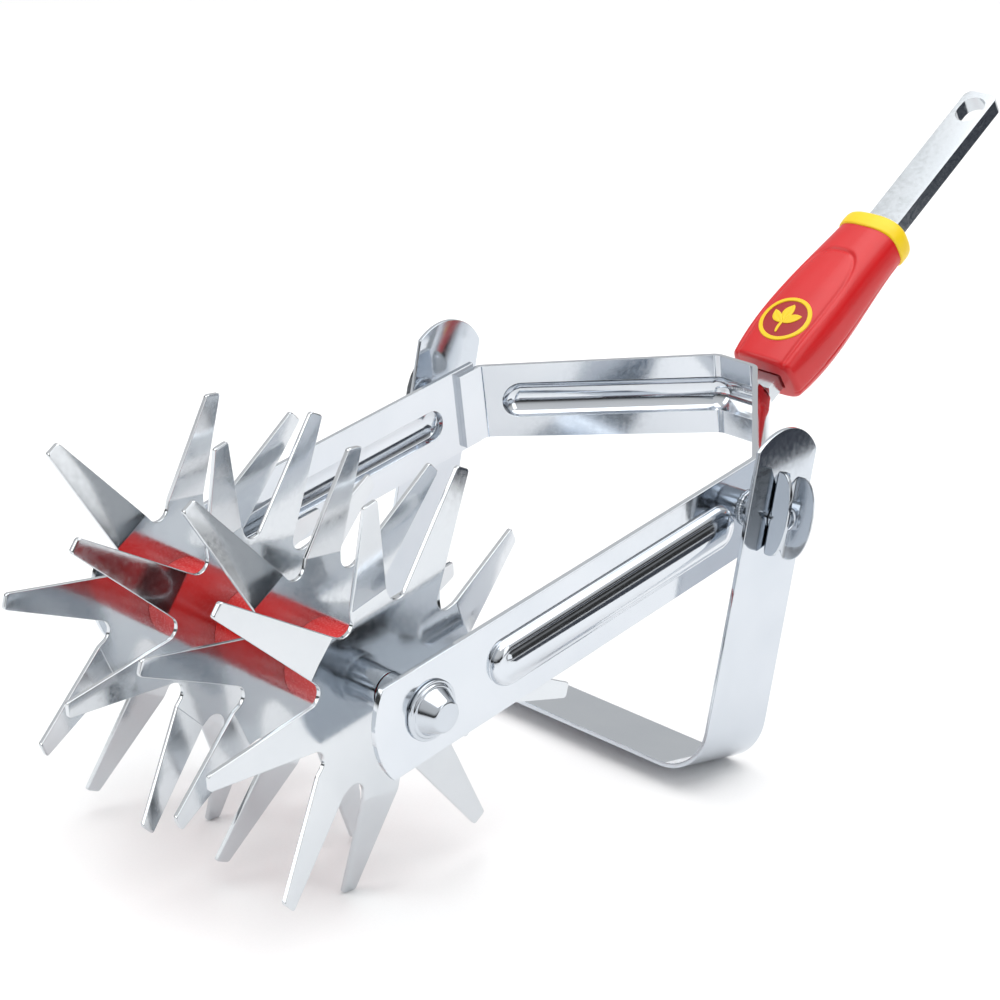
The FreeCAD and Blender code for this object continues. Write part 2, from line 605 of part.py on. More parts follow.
def bent_plate():
    """Sheet whose nine strips run straight, lean right and lean left in turn."""
    body = doc.addObject("PartDesign::Body", "BentPlate")
    disc = round_hole(new_sketch(body, "YZ_Plane"), "bend_line")
    feature(body, "Pad", disc, "Sizes.disc_gauge", midplane=True)
    straight = [
        ("-half_gauge", "valley_along"), ("half_gauge", "valley_along"),
        ("half_gauge", "end_inside_along"), ("-half_gauge", "end_inside_along"),
    ]
    leaning = [
        ("-half_gauge", "valley_along"), ("half_gauge", "valley_along"), ("half_gauge", "bend_line"),
        ("set_inside_across", "set_inside_along"), ("end_inside_across", "end_inside_along"),
        ("end_outside_across", "end_outside_along"), ("set_outside_across", "set_outside_along"),
        ("-half_gauge", "bend_line"),
    ]
    bends = {2: ("bend_centre", "bend_line", -1), 6: ("bend_centre", "bend_line", 1)}
    pitch = 360 / TINES
    lay_right = Rotation(X_AXIS, pitch)
    lay_left = Rotation(X_AXIS, 2 * pitch) * Rotation(Y_AXIS, 180)
    for corners, arcs, turn in (
        (straight, {}, Rotation()), (leaning, bends, lay_right), (leaning, bends, lay_left),
    ):
        sketch = outline(new_sketch(body, "XY_Plane", Placement(Vector(), turn)), corners, arcs)
        around(body, feature(body, "Pad", sketch, "Sizes.set_width", midplane=True), TINES // 3)
    return body


def make_discs():
    """Star discs, each keyed by a hexagon and turned against its neighbour."""
    blank = joined("MultiCommon", [star_prism(), bent_plate()])
    for number in range(DISCS):
        across = (number - (DISCS - 1) / 2) * size("disc_spacing")
        phase = size("disc_phase") - size("disc_step") * ((DISCS - 1 - number) % 2)
        key_place = Placement(Vector(-size("disc_gauge"), 0, 0), Rotation(X_AXIS, -phase) * ALONG_X)
        key_hole = primitive(
            "Prism", key_place, Circumradius="Sizes.hub_hole_radius", Height="Sizes.disc_gauge*2",
        )
        key_hole.Polygon = 6
        place = Placement(Vector(across, 0, 0), Rotation(X_AXIS, phase))
        keep(cut(blank, key_hole), "star_disc_%d" % (number + 1), place)


def make_spacers():
    """Tubes between the discs, with a hexagonal boss at each end."""
    for number in range(DISCS - 1):
        length = size("spacer_length")
        tube_solid = primitive(
            "Cylinder", Placement(Vector(-length / 2, 0, 0), ALONG_X),
            Radius="Sizes.spacer_dia/2", Height="Sizes.spacer_length",
        )
        key = primitive(
            "Prism", Placement(Vector(-length / 2 - size("hub_key"), 0, 0), ALONG_X),
            Circumradius="Sizes.hub_key_radius", Height="Sizes.spacer_length + Sizes.hub_key*2",
        )
        key.Polygon = 6
        bore = primitive(
            "Cylinder", Placement(Vector(-length, 0, 0), ALONG_X),
            Radius="Sizes.running_radius", Height="Sizes.spacer_length*2",
        )
        across = (number - (DISCS - 2) / 2) * size("disc_spacing")
        place = Placement(Vector(across, 0, 0), Rotation())
        keep(cut(joined("MultiFuse", [tube_solid, key]), bore), "spacer_%d" % (number + 1), place)


# ---------------------------------------------------------------- stirrup
def make_stirrup():
    """U of thin strip with rounded corners, rounded leg tops and pivot holes."""
    strip = doc.addObject("PartDesign::Body", "StirrupStrip")
    corners = [
        ("stirrup_inner", "stirrup_top"), ("stirrup_inner", "-corner_down"),
        ("corner_across", "-stirrup_floor"), ("-corner_across", "-stirrup_floor"),
        ("-stirrup_inner", "-corner_down"), ("-stirrup_inner", "stirrup_top"),
        ("-stirrup_outer", "stirrup_top"), ("-stirrup_outer", "-corner_down"),
        ("-corner_across", "-stirrup_depth"), ("corner_across", "-stirrup_depth"),
        ("stirrup_outer", "-corner_down"), ("stirrup_outer", "stirrup_top"),
    ]
    right = ("corner_across", "-corner_down")
    left = ("-corner_across", "-corner_down")
    arcs = {1: right + (-1,), 3: left + (-1,), 7: left + (1,), 9: right + (1,)}
    front_view = outline(new_sketch(strip, "XZ_Plane"), corners, arcs)
    feature(strip, "Pad", front_view, "Sizes.stirrup_width", midplane=True)

    side_view = doc.addObject("PartDesign::Body", "StirrupSideView")
    edges = [
        ("-stirrup_half", "-stirrup_depth"), ("stirrup_half", "-stirrup_depth"),
        ("stirrup_half", "stirrup_shoulder"), ("-stirrup_half", "stirrup_shoulder"),
    ]
    shape = outline(new_sketch(side_view, "YZ_Plane"), edges, {2: ("0", "crown_centre", 1)})
    feature(side_view, "Pad", shape, "Sizes.stirrup_outer*2", midplane=True)
    pivot = primitive(
        "Cylinder", Placement(Vector(-size("stirrup_outer"), 0, 0), ALONG_X),
        Radius="Sizes.pivot_radius", Height="Sizes.stirrup_outer*2",
    )
    bent = cut(joined("MultiCommon", [strip, side_view]), pivot)
    lean = Rotation(X_AXIS, -size("stirrup_slant"))
    keep(bent, "stirrup", Placement(Vector(0, size("pivot_reach"), 0), lean))


def make_wing_nut(name, side):
    """Folded sheet with two rounded wings and a barrel, whose thread is left plain."""
    channel = doc.addObject("PartDesign::Body", "NutFold")
    fold = [
        ("0", "-nut_half"), ("nut_wing", "-nut_lip"), ("nut_wing", "-nut_lip_inner"),
        ("nut_gauge", "-nut_root"), ("nut_gauge", "nut_root"), ("nut_wing", "nut_lip_inner"),
        ("nut_wing", "nut_lip"), ("0", "nut_half"),
    ]
    section = outline(new_sketch(channel, "XY_Plane"), fold)
    feature(channel, "Pad", section, "Sizes.nut_length", midplane=True)
    lobe = doc.addObject("PartDesign::Body", "NutLobe")
    rim = [
        ("0", "-nut_long"), ("nut_wing_flat", "-nut_long"), ("nut_wing", "-nut_long_flat"),
        ("nut_wing", "nut_long_flat"), ("nut_wing_flat", "nut_long"), ("0", "nut_long"),
    ]
    rounds = {1: ("nut_wing_flat", "-nut_long_flat", 1), 3: ("nut_wing_flat", "nut_long_flat", 1)}
    shape = outline(new_sketch(lobe, "XZ_Plane"), rim, rounds)
    feature(lobe, "Pad", shape, "Sizes.nut_lip*2", midplane=True)
    along = Placement(Vector(), ALONG_X)
    barrel = primitive("Cylinder", along, Radius="Sizes.nut_hub_dia/2", Height="Sizes.nut_hub")
    solid = joined("MultiFuse", [joined("MultiCommon", [channel, lobe]), barrel])
    bore = primitive("Cylinder", along, Radius="Sizes.pivot_radius", Height="Sizes.nut_hub")
    seat = on_side(side, size("stirrup_outer") + size("stirrup_play"), size("pivot_reach"))
    lean = Rotation(X_AXIS, -size("stirrup_slant"))
    keep(cut(solid, bore), "wing_nut_" + name, Placement(seat.Base, lean * seat.Rotation))


# ---------------------------------------------------------------- handle
def handle_place():
    """The handle's own frame: Y runs along the bar from the yoke's rear face."""
    foot = Vector(0, size("yoke_back"), -size("handle_drop"))
    return Placement(foot, Rotation(X_AXIS, size("handle_rise")))


def bar_pocket(body):
    """Cut the plug-in bar's section right through a body that sits on it."""
    corners = [
        ("-tang_half", "-tang_rise"), ("tang_half", "-tang_rise"),
        ("tang_half", "tang_rise"), ("-tang_half", "tang_rise"),
    ]
    section = outline(new_sketch(body, "XZ_Plane"), corners)
    feature(body, "Pocket", section, "Sizes.tang_end*2", midplane=True)


def make_tang():
    """Flat bar with a rounded end and a slot, and the weld that joins it to the yoke."""
    bar = doc.addObject("PartDesign::Body", "Bar")
    side_view = [
        ("-tang_slope", "-tang_rise"), ("tang_end", "-tang_rise"),
        ("tang_end", "tang_rise"), ("tang_slope", "tang_rise"),
    ]
    profile = outline(new_sketch(bar, "YZ_Plane"), side_view)
    blank = feature(bar, "Pad", profile, "Sizes.tang_width", midplane=True)
    end_corners = [("-tang_half", "tang_end"), ("tang_half", "tang_end")]
    fillet(bar, blank, at_corners(end_corners), "Sizes.tang_corner")
    slot = doc.addObject("PartDesign::Body", "SnapHole")
    turned = Placement(Vector(), Rotation(Z_AXIS, 90))
    hole = stadium(new_sketch(slot, "XY_Plane", turned), "slot_first", "slot_last", "slot_half")
    feature(slot, "Pad", hole, "Sizes.tang_gauge*2", midplane=True)
    bead = yoke_bead("Sizes.yoke_bead_radius")
    bead.Placement = handle_place().inverse()
    keep(cut(cut(bar, slot), bead), "connector_tang", handle_place())

    neck = primitive(
        "Wedge", Placement(),
        Xmin="-Sizes.neck_foot_half", Xmax="Sizes.neck_foot_half",
        Zmin="-Sizes.neck_foot_rise", Zmax="Sizes.neck_foot_rise",
        Ymin="0", Ymax="Sizes.neck_length",
        X2min="-Sizes.neck_end_half", X2max="Sizes.neck_end_half",
        Z2min="Sizes.neck_lift - Sizes.neck_end_rise",
        Z2max="Sizes.neck_lift + Sizes.neck_end_rise",
    )
    tilt = Rotation(X_AXIS, size("handle_rise"))
    corner = Vector(-size("tang_half"), -size("neck_length"), -size("tang_rise"))
    core = primitive(
        "Box", Placement(tilt.multVec(corner), tilt),
        Width="Sizes.tang_end", Length="Sizes.tang_width", Height="Sizes.tang_gauge",
    )
    foot = Placement(handle_place().Base, Rotation())
    bead = yoke_bead("Sizes.yoke_bead_radius")
    bead.Placement = foot.inverse()
    keep(cut(cut(neck, core), bead), "tang_weld", foot)


def make_grip():
    """Moulded grip with a belly, its collar and the badge let into its top."""
    body = doc.addObject("PartDesign::Body", "Grip")
    rings = []
    for name, place in (
        ("low", "grip_start"), ("mid", "grip_belly"), ("waist", "grip_waist"), ("top", "grip_end"),
    ):
        sketch = rounded_section(new_sketch(body, "XZ_Plane"), name)
        sketch.setExpression("AttachmentOffset.Base.z", "-Sizes." + place)
        if name != "top":
            sketch.setExpression("AttachmentOffset.Base.y", "Sizes.grip_lift")
        rings.append(sketch)
    loft = body.newObject("PartDesign::AdditiveLoft", "Loft")
    loft.Profile = rings[0]
    loft.Sections = [(ring, [""]) for ring in rings[1:]]
    doc.recompute()
    bar_pocket(body)
    seat = size("grip_lift") + size("mid_rise") + size("badge_proud") - size("badge_gauge")
    recess = primitive(
        "Cylinder", Placement(Vector(0, size("badge_place"), seat), Rotation()),
        Radius="Sizes.badge_dia/2", Height="Sizes.badge_gauge*4",
    )
    keep(cut(body, recess), "grip_sleeve", handle_place())

    collar = doc.addObject("PartDesign::Body", "Collar")
    ring = rounded_section(new_sketch(collar, "XZ_Plane"), "collar")
    feature(collar, "Pad", ring, "Sizes.collar_length", reverse=True)
    bar_pocket(collar)
    along = Placement(Vector(0, size("grip_end"), 0), Rotation())
    keep(collar, "collar_ring", handle_place().multiply(along))

    badge = primitive("Cylinder", Placement(), Radius="Sizes.badge_dia/2", Height="Sizes.badge_gauge")
    on_top = Placement(Vector(0, size("badge_place"), seat), Rotation())
    keep(badge, "emblem_badge", handle_place().multiply(on_top))


# ---------------------------------------------------------------- the whole tool
make_yoke()
make_axle()
for side_name, side_sign in SIDES:
    make_arm(side_name, side_sign)
    make_yoke_weld(side_name, side_sign)
    make_stud(side_name, side_sign)
    make_wing_nut(side_name, side_sign)
make_discs()
make_spacers()
make_stirrup()
make_tang()
make_grip()
doc.recompute()


def lowest(labels, tilt):
    """Height of the lowest point of some nodes when the tool is tipped by tilt."""
    turn = Placement(Vector(), Rotation(X_AXIS, tilt))
    low = []
    for label in labels:
        thing, place = nodes[label]
        shape = thing.Shape.copy()
        shape.Placement = turn.multiply(place)
        low.append(shape.optimalBoundingBox(False, False).ZMin)
    return min(low)


def stance():
    """Tilt at which the star tips and the stirrup blade touch the same ground."""
    discs = ["star_disc_%d" % number for number in range(DISCS - 1, DISCS + 1)]
    level, steep = 0.0, 20.0
    while steep - level > 0.001:
        middle = (level + steep) / 2
        if lowest(["stirrup"], middle) < lowest(discs, middle):
            level = middle
        else:
            steep = middle
    return (level + steep) / 2


tilt = stance()
tipped = Placement(Vector(), Rotation(X_AXIS, tilt))
for thing, place in nodes.values():
    thing.Placement = tipped.multiply(place)
doc.recompute()
box = FreeCAD.BoundBox()
for thing, _place in nodes.values():
    box.add(thing.Shape.optimalBoundingBox(False, False))
origin = Placement(Vector(-box.Center.x, -box.Center.y, -box.ZMin), Rotation())
for thing, _place in nodes.values():
    thing.Placement = origin.multiply(thing.Placement)
doc.recompute()

for item in doc.Objects:
    if "Invalid" in item.State or "Error" in item.State:
        raise RuntimeError("%s failed: %s" % (item.Label, item.State))
os.makedirs("parts", exist_ok=True)
for label, (thing, _place) in nodes.items():
    if thing.Shape.isNull() or not thing.Shape.isValid() or not thing.Shape.Solids:
        raise RuntimeError("%s has no valid solid" % label)
    thing.Shape.exportStep("parts/%s.step" % label)

print("nodes %d, tilt %.3f degrees" % (len(nodes), tilt))
print("size %.1f x %.1f x %.1f mm" % (box.XLength, box.YLength, box.ZLength))
base = origin.multiply(tipped)
pivot_point = base.multVec(Vector(0, size("pivot_reach"), 0))
print("axle at y %.3f z %.3f" % (base.Base.y, base.Base.z))
print("stirrup pivot at y %.3f z %.3f" % (pivot_point.y, pivot_point.z))
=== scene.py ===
import json
import math

import bmesh
import bpy
from mathutils import Matrix, Vector


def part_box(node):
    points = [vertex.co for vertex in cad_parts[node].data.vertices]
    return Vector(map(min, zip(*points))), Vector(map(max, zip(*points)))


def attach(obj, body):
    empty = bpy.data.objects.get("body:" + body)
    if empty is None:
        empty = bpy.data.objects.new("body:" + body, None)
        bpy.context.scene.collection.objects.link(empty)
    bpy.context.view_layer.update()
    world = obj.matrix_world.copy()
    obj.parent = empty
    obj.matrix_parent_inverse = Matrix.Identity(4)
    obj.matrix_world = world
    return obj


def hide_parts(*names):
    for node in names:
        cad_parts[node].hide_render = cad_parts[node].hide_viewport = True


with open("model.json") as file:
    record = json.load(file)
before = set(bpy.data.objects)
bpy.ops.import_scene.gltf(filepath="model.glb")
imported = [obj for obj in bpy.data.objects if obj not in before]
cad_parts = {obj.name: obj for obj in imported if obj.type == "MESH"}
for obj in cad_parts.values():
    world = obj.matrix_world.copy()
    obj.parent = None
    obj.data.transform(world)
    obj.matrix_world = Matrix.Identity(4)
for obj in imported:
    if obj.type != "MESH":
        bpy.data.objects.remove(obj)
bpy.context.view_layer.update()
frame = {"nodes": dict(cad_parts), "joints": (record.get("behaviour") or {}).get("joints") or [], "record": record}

# Hand soil crumbler head in bright zinc plated steel and moulded plastic.
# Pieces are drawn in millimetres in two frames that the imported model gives:
# the tool frame (X across, Y from the axle towards the handle, Z square to the arms)
# and the handle frame (Y along the plug-in bar, Z out of the grip's top).

MM = 0.001
SIDES = (("left", -1), ("right", 1))


# ---------------------------------------------------------------- places
def joint_point(name):
    return Vector([joint for joint in frame["joints"] if joint["name"] == name][0]["pos_m"])


def mount(name):
    return [item for item in frame["record"]["mounts"] if item["name"] == name][0]


axle = joint_point("roller_spin")
pivot = joint_point("stirrup_swing")
tilt = math.atan2(pivot.z - axle.z, pivot.y - axle.y)
TOOL = Matrix.Translation(axle) @ Matrix.Rotation(tilt, 4, "X") @ Matrix.Scale(MM, 4)
PIVOT_REACH = (pivot - axle).length / MM

BAR_END = 215
bar_axis = Vector(mount("plug_bar")["axis"])
bar_lean = math.atan2(bar_axis.z, bar_axis.y)
bar_foot = Vector(mount("plug_bar")["pos_m"]) - bar_axis * BAR_END * MM
HANDLE = Matrix.Translation(bar_foot) @ Matrix.Rotation(bar_lean, 4, "X") @ Matrix.Scale(MM, 4)

STRAP_SLANT = math.radians(20.5)
NUT_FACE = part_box("wing_nut_right")[0].x / MM
ARM_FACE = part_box("pivot_stud_right")[0].x / MM
ARM_GAUGE = 2.5
ARM_REAR = 196.0


def side_place(side, away, along=0.0, lean=0.0):
    """Tool-frame place of a piece drawn along +X, at one side of the tool."""
    turn = Matrix.Identity(4) if side > 0 else Matrix.Rotation(math.pi, 4, "Z")
    shift = Matrix.Translation((side * away, along, 0))
    return TOOL @ shift @ Matrix.Rotation(-lean, 4, "X") @ turn


# ---------------------------------------------------------------- materials
def linear(code):
    """Scene-linear colour of an sRGB hex code."""
    parts = [int(code[i:i + 2], 16) / 255 for i in (0, 2, 4)]
    return tuple(c / 12.92 if c <= 0.04045 else ((c + 0.055) / 1.055) ** 2.4 for c in parts) + (1.0,)


def add(tree, kind, links=None, **settings):
    """Adds one node; links maps an input's name or number to a value or a socket."""
    node = tree.nodes.new(kind)
    for name, value in settings.items():
        setattr(node, name, value)
    for key, value in (links or {}).items():
        if isinstance(value, bpy.types.NodeSocket):
            tree.links.new(value, node.inputs[key])
        else:
            node.inputs[key].default_value = value
    return node


def surface(name):
    """Empty material: its tree, its principled shader and its object coordinates."""
    made = bpy.data.materials.new(name)
    made.use_nodes = True
    tree = made.node_tree
    tree.nodes.clear()
    shader = add(tree, "ShaderNodeBsdfPrincipled")
    add(tree, "ShaderNodeOutputMaterial", {"Surface": shader.outputs[0]})
    place = add(tree, "ShaderNodeTexCoord").outputs["Object"]
    return made, tree, shader, place


def plated_steel(name, light, dark, rough, ripple_mm, wave_um, drawn=None):
    """Bright zinc: a thin bluish plate over cold-rolled steel, nearly a mirror.

    Clouds about 35 mm wide change its tone, small flecks change its gloss, slight waves
    bend what it mirrors, and a drawn direction adds the fine lines left by rolling.
    Those lines are really finer than 0.5 mm, which is as coarse as they need to be to show.
    """
    made, tree, shader, place = surface(name)
    cloud = add(tree, "ShaderNodeTexNoise", {"Vector": place, "Scale": 1 / (35 * MM), "Detail": 4.0})
    tone = add(
        tree, "ShaderNodeMix", {0: cloud.outputs[0], 6: linear(light), 7: linear(dark)}, data_type="RGBA",
    )
    tree.links.new(tone.outputs[2], shader.inputs["Base Color"])
    fleck = add(tree, "ShaderNodeTexNoise", {"Vector": place, "Scale": 1 / (2.2 * MM), "Detail": 6.0})
    gloss = add(
        tree, "ShaderNodeMapRange",
        {"Value": fleck.outputs[0], "From Min": 0.3, "From Max": 0.7,
         "To Min": rough * 0.75, "To Max": rough * 1.3},
    )
    wave = add(tree, "ShaderNodeTexNoise", {"Vector": place, "Scale": 1 / (ripple_mm * MM), "Detail": 1.0})
    height = add(
        tree, "ShaderNodeBump",
        {"Height": wave.outputs[0], "Distance": wave_um * 1e-6, "Strength": 1.0},
    )
    if drawn is not None:
        fine = [1 / (0.5 * MM) if axis != drawn else 1 / (30 * MM) for axis in range(3)]
        stretched = add(tree, "ShaderNodeMapping", {"Vector": place, "Scale": fine})
        lines = add(tree, "ShaderNodeTexNoise", {"Vector": stretched.outputs[0], "Scale": 1.0, "Detail": 2.0})
        height = add(
            tree, "ShaderNodeBump",
            {"Height": lines.outputs[0], "Distance": 4e-6, "Strength": 0.35, "Normal": height.outputs[0]},
        )
    tree.links.new(gloss.outputs[0], shader.inputs["Roughness"])
    tree.links.new(height.outputs[0], shader.inputs["Normal"])
    shader.inputs["Metallic"].default_value = 1.0
    return made


def moulded_plastic(name, body, deep, rough, grain_mm, coat=0.0):
    """Injection-moulded plastic: even colour, fine spark-eroded grain, soft gloss.

    The real grain is nearer 0.1 mm. It is drawn coarser, as coarse as it needs to be to show.
    """
    made, tree, shader, place = surface(name)
    cloud = add(tree, "ShaderNodeTexNoise", {"Vector": place, "Scale": 1 / (20 * MM), "Detail": 3.0})
    tone = add(
        tree, "ShaderNodeMix", {0: cloud.outputs[0], 6: linear(body), 7: linear(deep)}, data_type="RGBA",
    )
    grain = add(tree, "ShaderNodeTexNoise", {"Vector": place, "Scale": 1 / (grain_mm * MM), "Detail": 3.0})
    gloss = add(
        tree, "ShaderNodeMapRange",
        {"Value": grain.outputs[0], "From Min": 0.3, "From Max": 0.7,
         "To Min": rough * 0.85, "To Max": rough * 1.15},
    )
    bump = add(tree, "ShaderNodeBump", {"Height": grain.outputs[0], "Distance": 2e-5, "Strength": 0.25})
    tree.links.new(tone.outputs[2], shader.inputs["Base Color"])
    tree.links.new(gloss.outputs[0], shader.inputs["Roughness"])
    tree.links.new(bump.outputs[0], shader.inputs["Normal"])
    shader.inputs["IOR"].default_value = 1.49
    shader.inputs["Coat Weight"].default_value = coat
    shader.inputs["Coat Roughness"].default_value = 0.12
    return made


ZINC_SHEET = plated_steel("bright zinc sheet, rolled", "D9DDE2", "C9CFD6", 0.10, 30, 22, drawn=1)
ZINC_STRAP = plated_steel("bright zinc strip, bent", "D3D8DE", "C2C9D1", 0.08, 40, 28, drawn=2)
ZINC_STAR = plated_steel("bright zinc plate, punched", "DADDE0", "C8CDD2", 0.11, 26, 14)
ZINC_TURNED = plated_steel("bright zinc on turned steel", "CDD2D8", "B9C0C8", 0.12, 30, 10)
ZINC_BAR = plated_steel("bright zinc on drawn bar", "CFD3D7", "BFC5CA", 0.14, 50, 12, drawn=1)
ZINC_WELD = plated_steel("zinc over weld metal", "CDD1D5", "A9AFB6", 0.20, 1.5, 40)
GRIP_RED = moulded_plastic("moulded red ABS, satin", "D00A12", "C2060E", 0.34, 0.5, coat=0.15)
SPACER_RED = moulded_plastic("extruded red PVC tube", "DB1A14", "CC140F", 0.26, 0.8, coat=0.35)
COLLAR_YELLOW = moulded_plastic("moulded yellow ABS", "F2D000", "EAC500", 0.38, 0.5, coat=0.10)
BADGE_YELLOW = moulded_plastic("raised yellow ABS inlay", "EFCB08", "E4BE04", 0.40, 0.4)
BADGE_RED = moulded_plastic("sunk red ABS field", "A5141B", "981118", 0.45, 0.4)


# ---------------------------------------------------------------- mesh helpers
SHARP = 35.0
SAME_POINT = 1e-6
SAME_PLANE = math.radians(0.4)


def linked(name, data):
    """New object of a mesh, a light or a camera, put in the scene."""
    made = bpy.data.objects.new(name, data)
    bpy.context.scene.collection.objects.link(made)
    return made


def baked(carrier):
    """Plain mesh of an object with its modifiers applied."""
    return bpy.data.meshes.new_from_object(
        carrier.evaluated_get(bpy.context.evaluated_depsgraph_get()),
    )


def finish_piece(name, mesh, place, finish, body, stands_for=(), sharp=SHARP, flats=False):
    """Shared last steps: place in the mesh, normals out, shading, body and slot.

    With flats the large flat faces keep their own normals beside rounded edges.
    """
    mesh.transform(place)
    work = bmesh.new()
    work.from_mesh(mesh)
    bmesh.ops.recalc_face_normals(work, faces=work.faces)
    work.to_mesh(mesh)
    work.free()
    piece = linked(name, mesh)
    mesh.materials.clear()
    mesh.materials.append(finish)
    mesh.polygons.foreach_set("use_smooth", [True] * len(mesh.polygons))
    mesh.set_sharp_from_angle(angle=math.radians(sharp))
    if flats:
        weigh = piece.modifiers.new("flat faces", "WEIGHTED_NORMAL")
        weigh.keep_sharp = True
        weigh.weight = 100
        piece.data = baked(piece)
        piece.modifiers.clear()
    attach(piece, body)
    if stands_for:
        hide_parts(*stands_for)


def bridge(work, first, second):
    """Faces between two rings of vertices."""
    for i in range(len(first)):
        j = (i + 1) % len(first)
        work.faces.new((first[i], first[j], second[j], second[i]))


def ring_mesh(name, rows, capped=False):
    """Closed shape from rings of points, capped or with its last ring joined to its first."""
    work = bmesh.new()
    made = [[work.verts.new(point) for point in row] for row in rows]
    following = made[1:] if capped else made[1:] + made[:1]
    for first, second in zip(made, following):
        bridge(work, first, second)
    if capped:
        work.faces.new(made[0])
        work.faces.new(list(reversed(made[-1])))
    mesh = bpy.data.meshes.new(name)
    work.to_mesh(mesh)
    work.free()
    return mesh


def thickened(mesh, gauge, ease):
    """Sheet of a given gauge about an open mesh, with its edges eased."""
    carrier = linked(mesh.name + "_sheet", mesh)
    wall = carrier.modifiers.new("gauge", "SOLIDIFY")
    wall.thickness = gauge
    wall.offset = 0
    wall.use_even_offset = True
    edge = carrier.modifiers.new("eased", "BEVEL")
    edge.width = ease
    edge.segments = 2
    edge.limit_method = "ANGLE"
    edge.angle_limit = math.radians(50)
    solid = baked(carrier)
    bpy.data.objects.remove(carrier)
    return solid


def circle(radius, count):
    """Evenly spaced points around a circle, each a pair."""
    turns = [math.tau * i / count for i in range(count)]
    return [(radius * math.cos(turn), radius * math.sin(turn)) for turn in turns]


def turned(name, profile):
    """Solid of revolution about X from (x, radius) points, closed at both ends."""
    rows = [[(x, y, z) for y, z in circle(radius, 96)] for x, radius in profile]
    return ring_mesh(name, rows, capped=True)


def rounded(profile, radius, steps=5):
    """The same open profile with its inner corners rounded."""
    points = [Vector(profile[0])]
    for before, corner, after in zip(profile, profile[1:], profile[2:]):
        corner = Vector(corner)
        back = Vector(before) - corner
        ahead = Vector(after) - corner
        reach = min(radius, back.length * 0.45, ahead.length * 0.45)
        start = corner + back.normalized() * reach
        end = corner + ahead.normalized() * reach
        for i in range(steps + 1):
            t = i / steps
            points.append(start * (1 - t) ** 2 + corner * 2 * t * (1 - t) + end * t ** 2)
    points.append(Vector(profile[-1]))
    return [tuple(point) for point in points]


# the bead pressed into an arm: how far its dome stands up, then its levels and its round ends
BEAD_CROWN = 1.7
BEAD_RISE = 3.8
BEAD_HALF = 9.7
BEAD_FRONT = 32.0
BEAD_MARGIN = 20.0
BEAD_TOP = ARM_FACE + BEAD_RISE
BEAD_FLOOR = BEAD_TOP - ARM_GAUGE
BEAD_FIRST = BEAD_FRONT + BEAD_HALF
BEAD_LAST = ARM_REAR - BEAD_MARGIN - BEAD_HALF
BEAD_AREA = 500 * MM ** 2
BEAD_STEPS = 7


def crown_bead(work):
    """Domes the flat top and the flat floor of an arm's bead along its middle line."""
    back = TOOL.inverted()
    flats = []
    for face in work.faces:
        away = abs((back @ face.calc_center_median()).x)
        on_bead = BEAD_FLOOR - 0.1 < away < BEAD_TOP + 0.1
        if on_bead and abs(face.normal.x) > 0.99 and face.calc_area() > BEAD_AREA:
            flats.append(face)
    for face in flats:
        rings = [list(face.verts)]
        rim = [back @ vert.co for vert in face.verts]
        work.faces.remove(face)
        for k in range(1, BEAD_STEPS):
            t = k / BEAD_STEPS
            ring = []
            for point in rim:
                middle = Vector((point.x, min(max(point.y, BEAD_FIRST), BEAD_LAST), 0))
                spot = point.lerp(middle, t)
                spot.x += math.copysign(BEAD_CROWN * (1 - (1 - t) ** 2), point.x)
                ring.append(work.verts.new(TOOL @ spot))
            rings.append(ring)
        for first, second in zip(rings, rings[1:]):
            bridge(work, first, second)
        work.faces.new(rings[-1])
    work.normal_update()


def eased_edges(node, finish, body, width_mm=0.25, segments=2, reshape=None):
    """A CAD node's own shape with its cut edges eased, so that they catch the light."""
    mesh = frame["nodes"][node].data.copy()
    work = bmesh.new()
    work.from_mesh(mesh)
    bmesh.ops.remove_doubles(work, verts=work.verts, dist=SAME_POINT)
    bmesh.ops.dissolve_limit(
        work, angle_limit=SAME_PLANE, verts=work.verts, edges=work.edges, delimit={"NORMAL"},
    )
    if reshape is not None:
        reshape(work)
    edges = [e for e in work.edges if len(e.link_faces) == 2 and e.calc_face_angle() > math.radians(SHARP)]
    bmesh.ops.bevel(
        work, geom=edges, offset=width_mm * MM, offset_type="OFFSET", segments=segments, profile=0.5,
        affect="EDGES", clamp_overlap=True,
    )
    bmesh.ops.triangulate(work, faces=[f for f in work.faces if len(f.verts) > 4])
    work.to_mesh(mesh)
    work.free()
    mesh.name = node + "_finished"
    finish_piece(node + "_finished", mesh, Matrix.Identity(4), finish, body, (node,), flats=True)


# ---------------------------------------------------------------- sheet metal
for side_name, side in SIDES:
    eased_edges("arm_" + side_name, ZINC_SHEET, "frame", reshape=crown_bead)
    eased_edges("thrust_washer_" + side_name, ZINC_TURNED, "frame")
    eased_edges("end_sleeve_" + side_name, ZINC_TURNED, "frame")
eased_edges("yoke", ZINC_SHEET, "frame")
eased_edges("stirrup", ZINC_STRAP, "stirrup", width_mm=0.3)
eased_edges("connector_tang", ZINC_BAR, "frame", width_mm=1.6, segments=5)
for number in range(1, 5):
    eased_edges("star_disc_%d" % number, ZINC_STAR, "star_roller", width_mm=0.3)
for number in range(1, 4):
    eased_edges("spacer_%d" % number, SPACER_RED, "star_roller", width_mm=0.4)
frame["nodes"]["axle_rod"].material_slots[0].material = ZINC_TURNED


# ---------------------------------------------------------------- axle caps
# (height over the arm, radius): bore, rolled rim, step, cone and nose
CAP_PROFILE = [
    (0.2, 5.1), (0.2, 12.2), (1.3, 12.2), (1.3, 10.9), (2.2, 10.4),
    (2.2, 9.5), (8.3, 6.5), (9.0, 5.8), (9.0, 0.01),
]


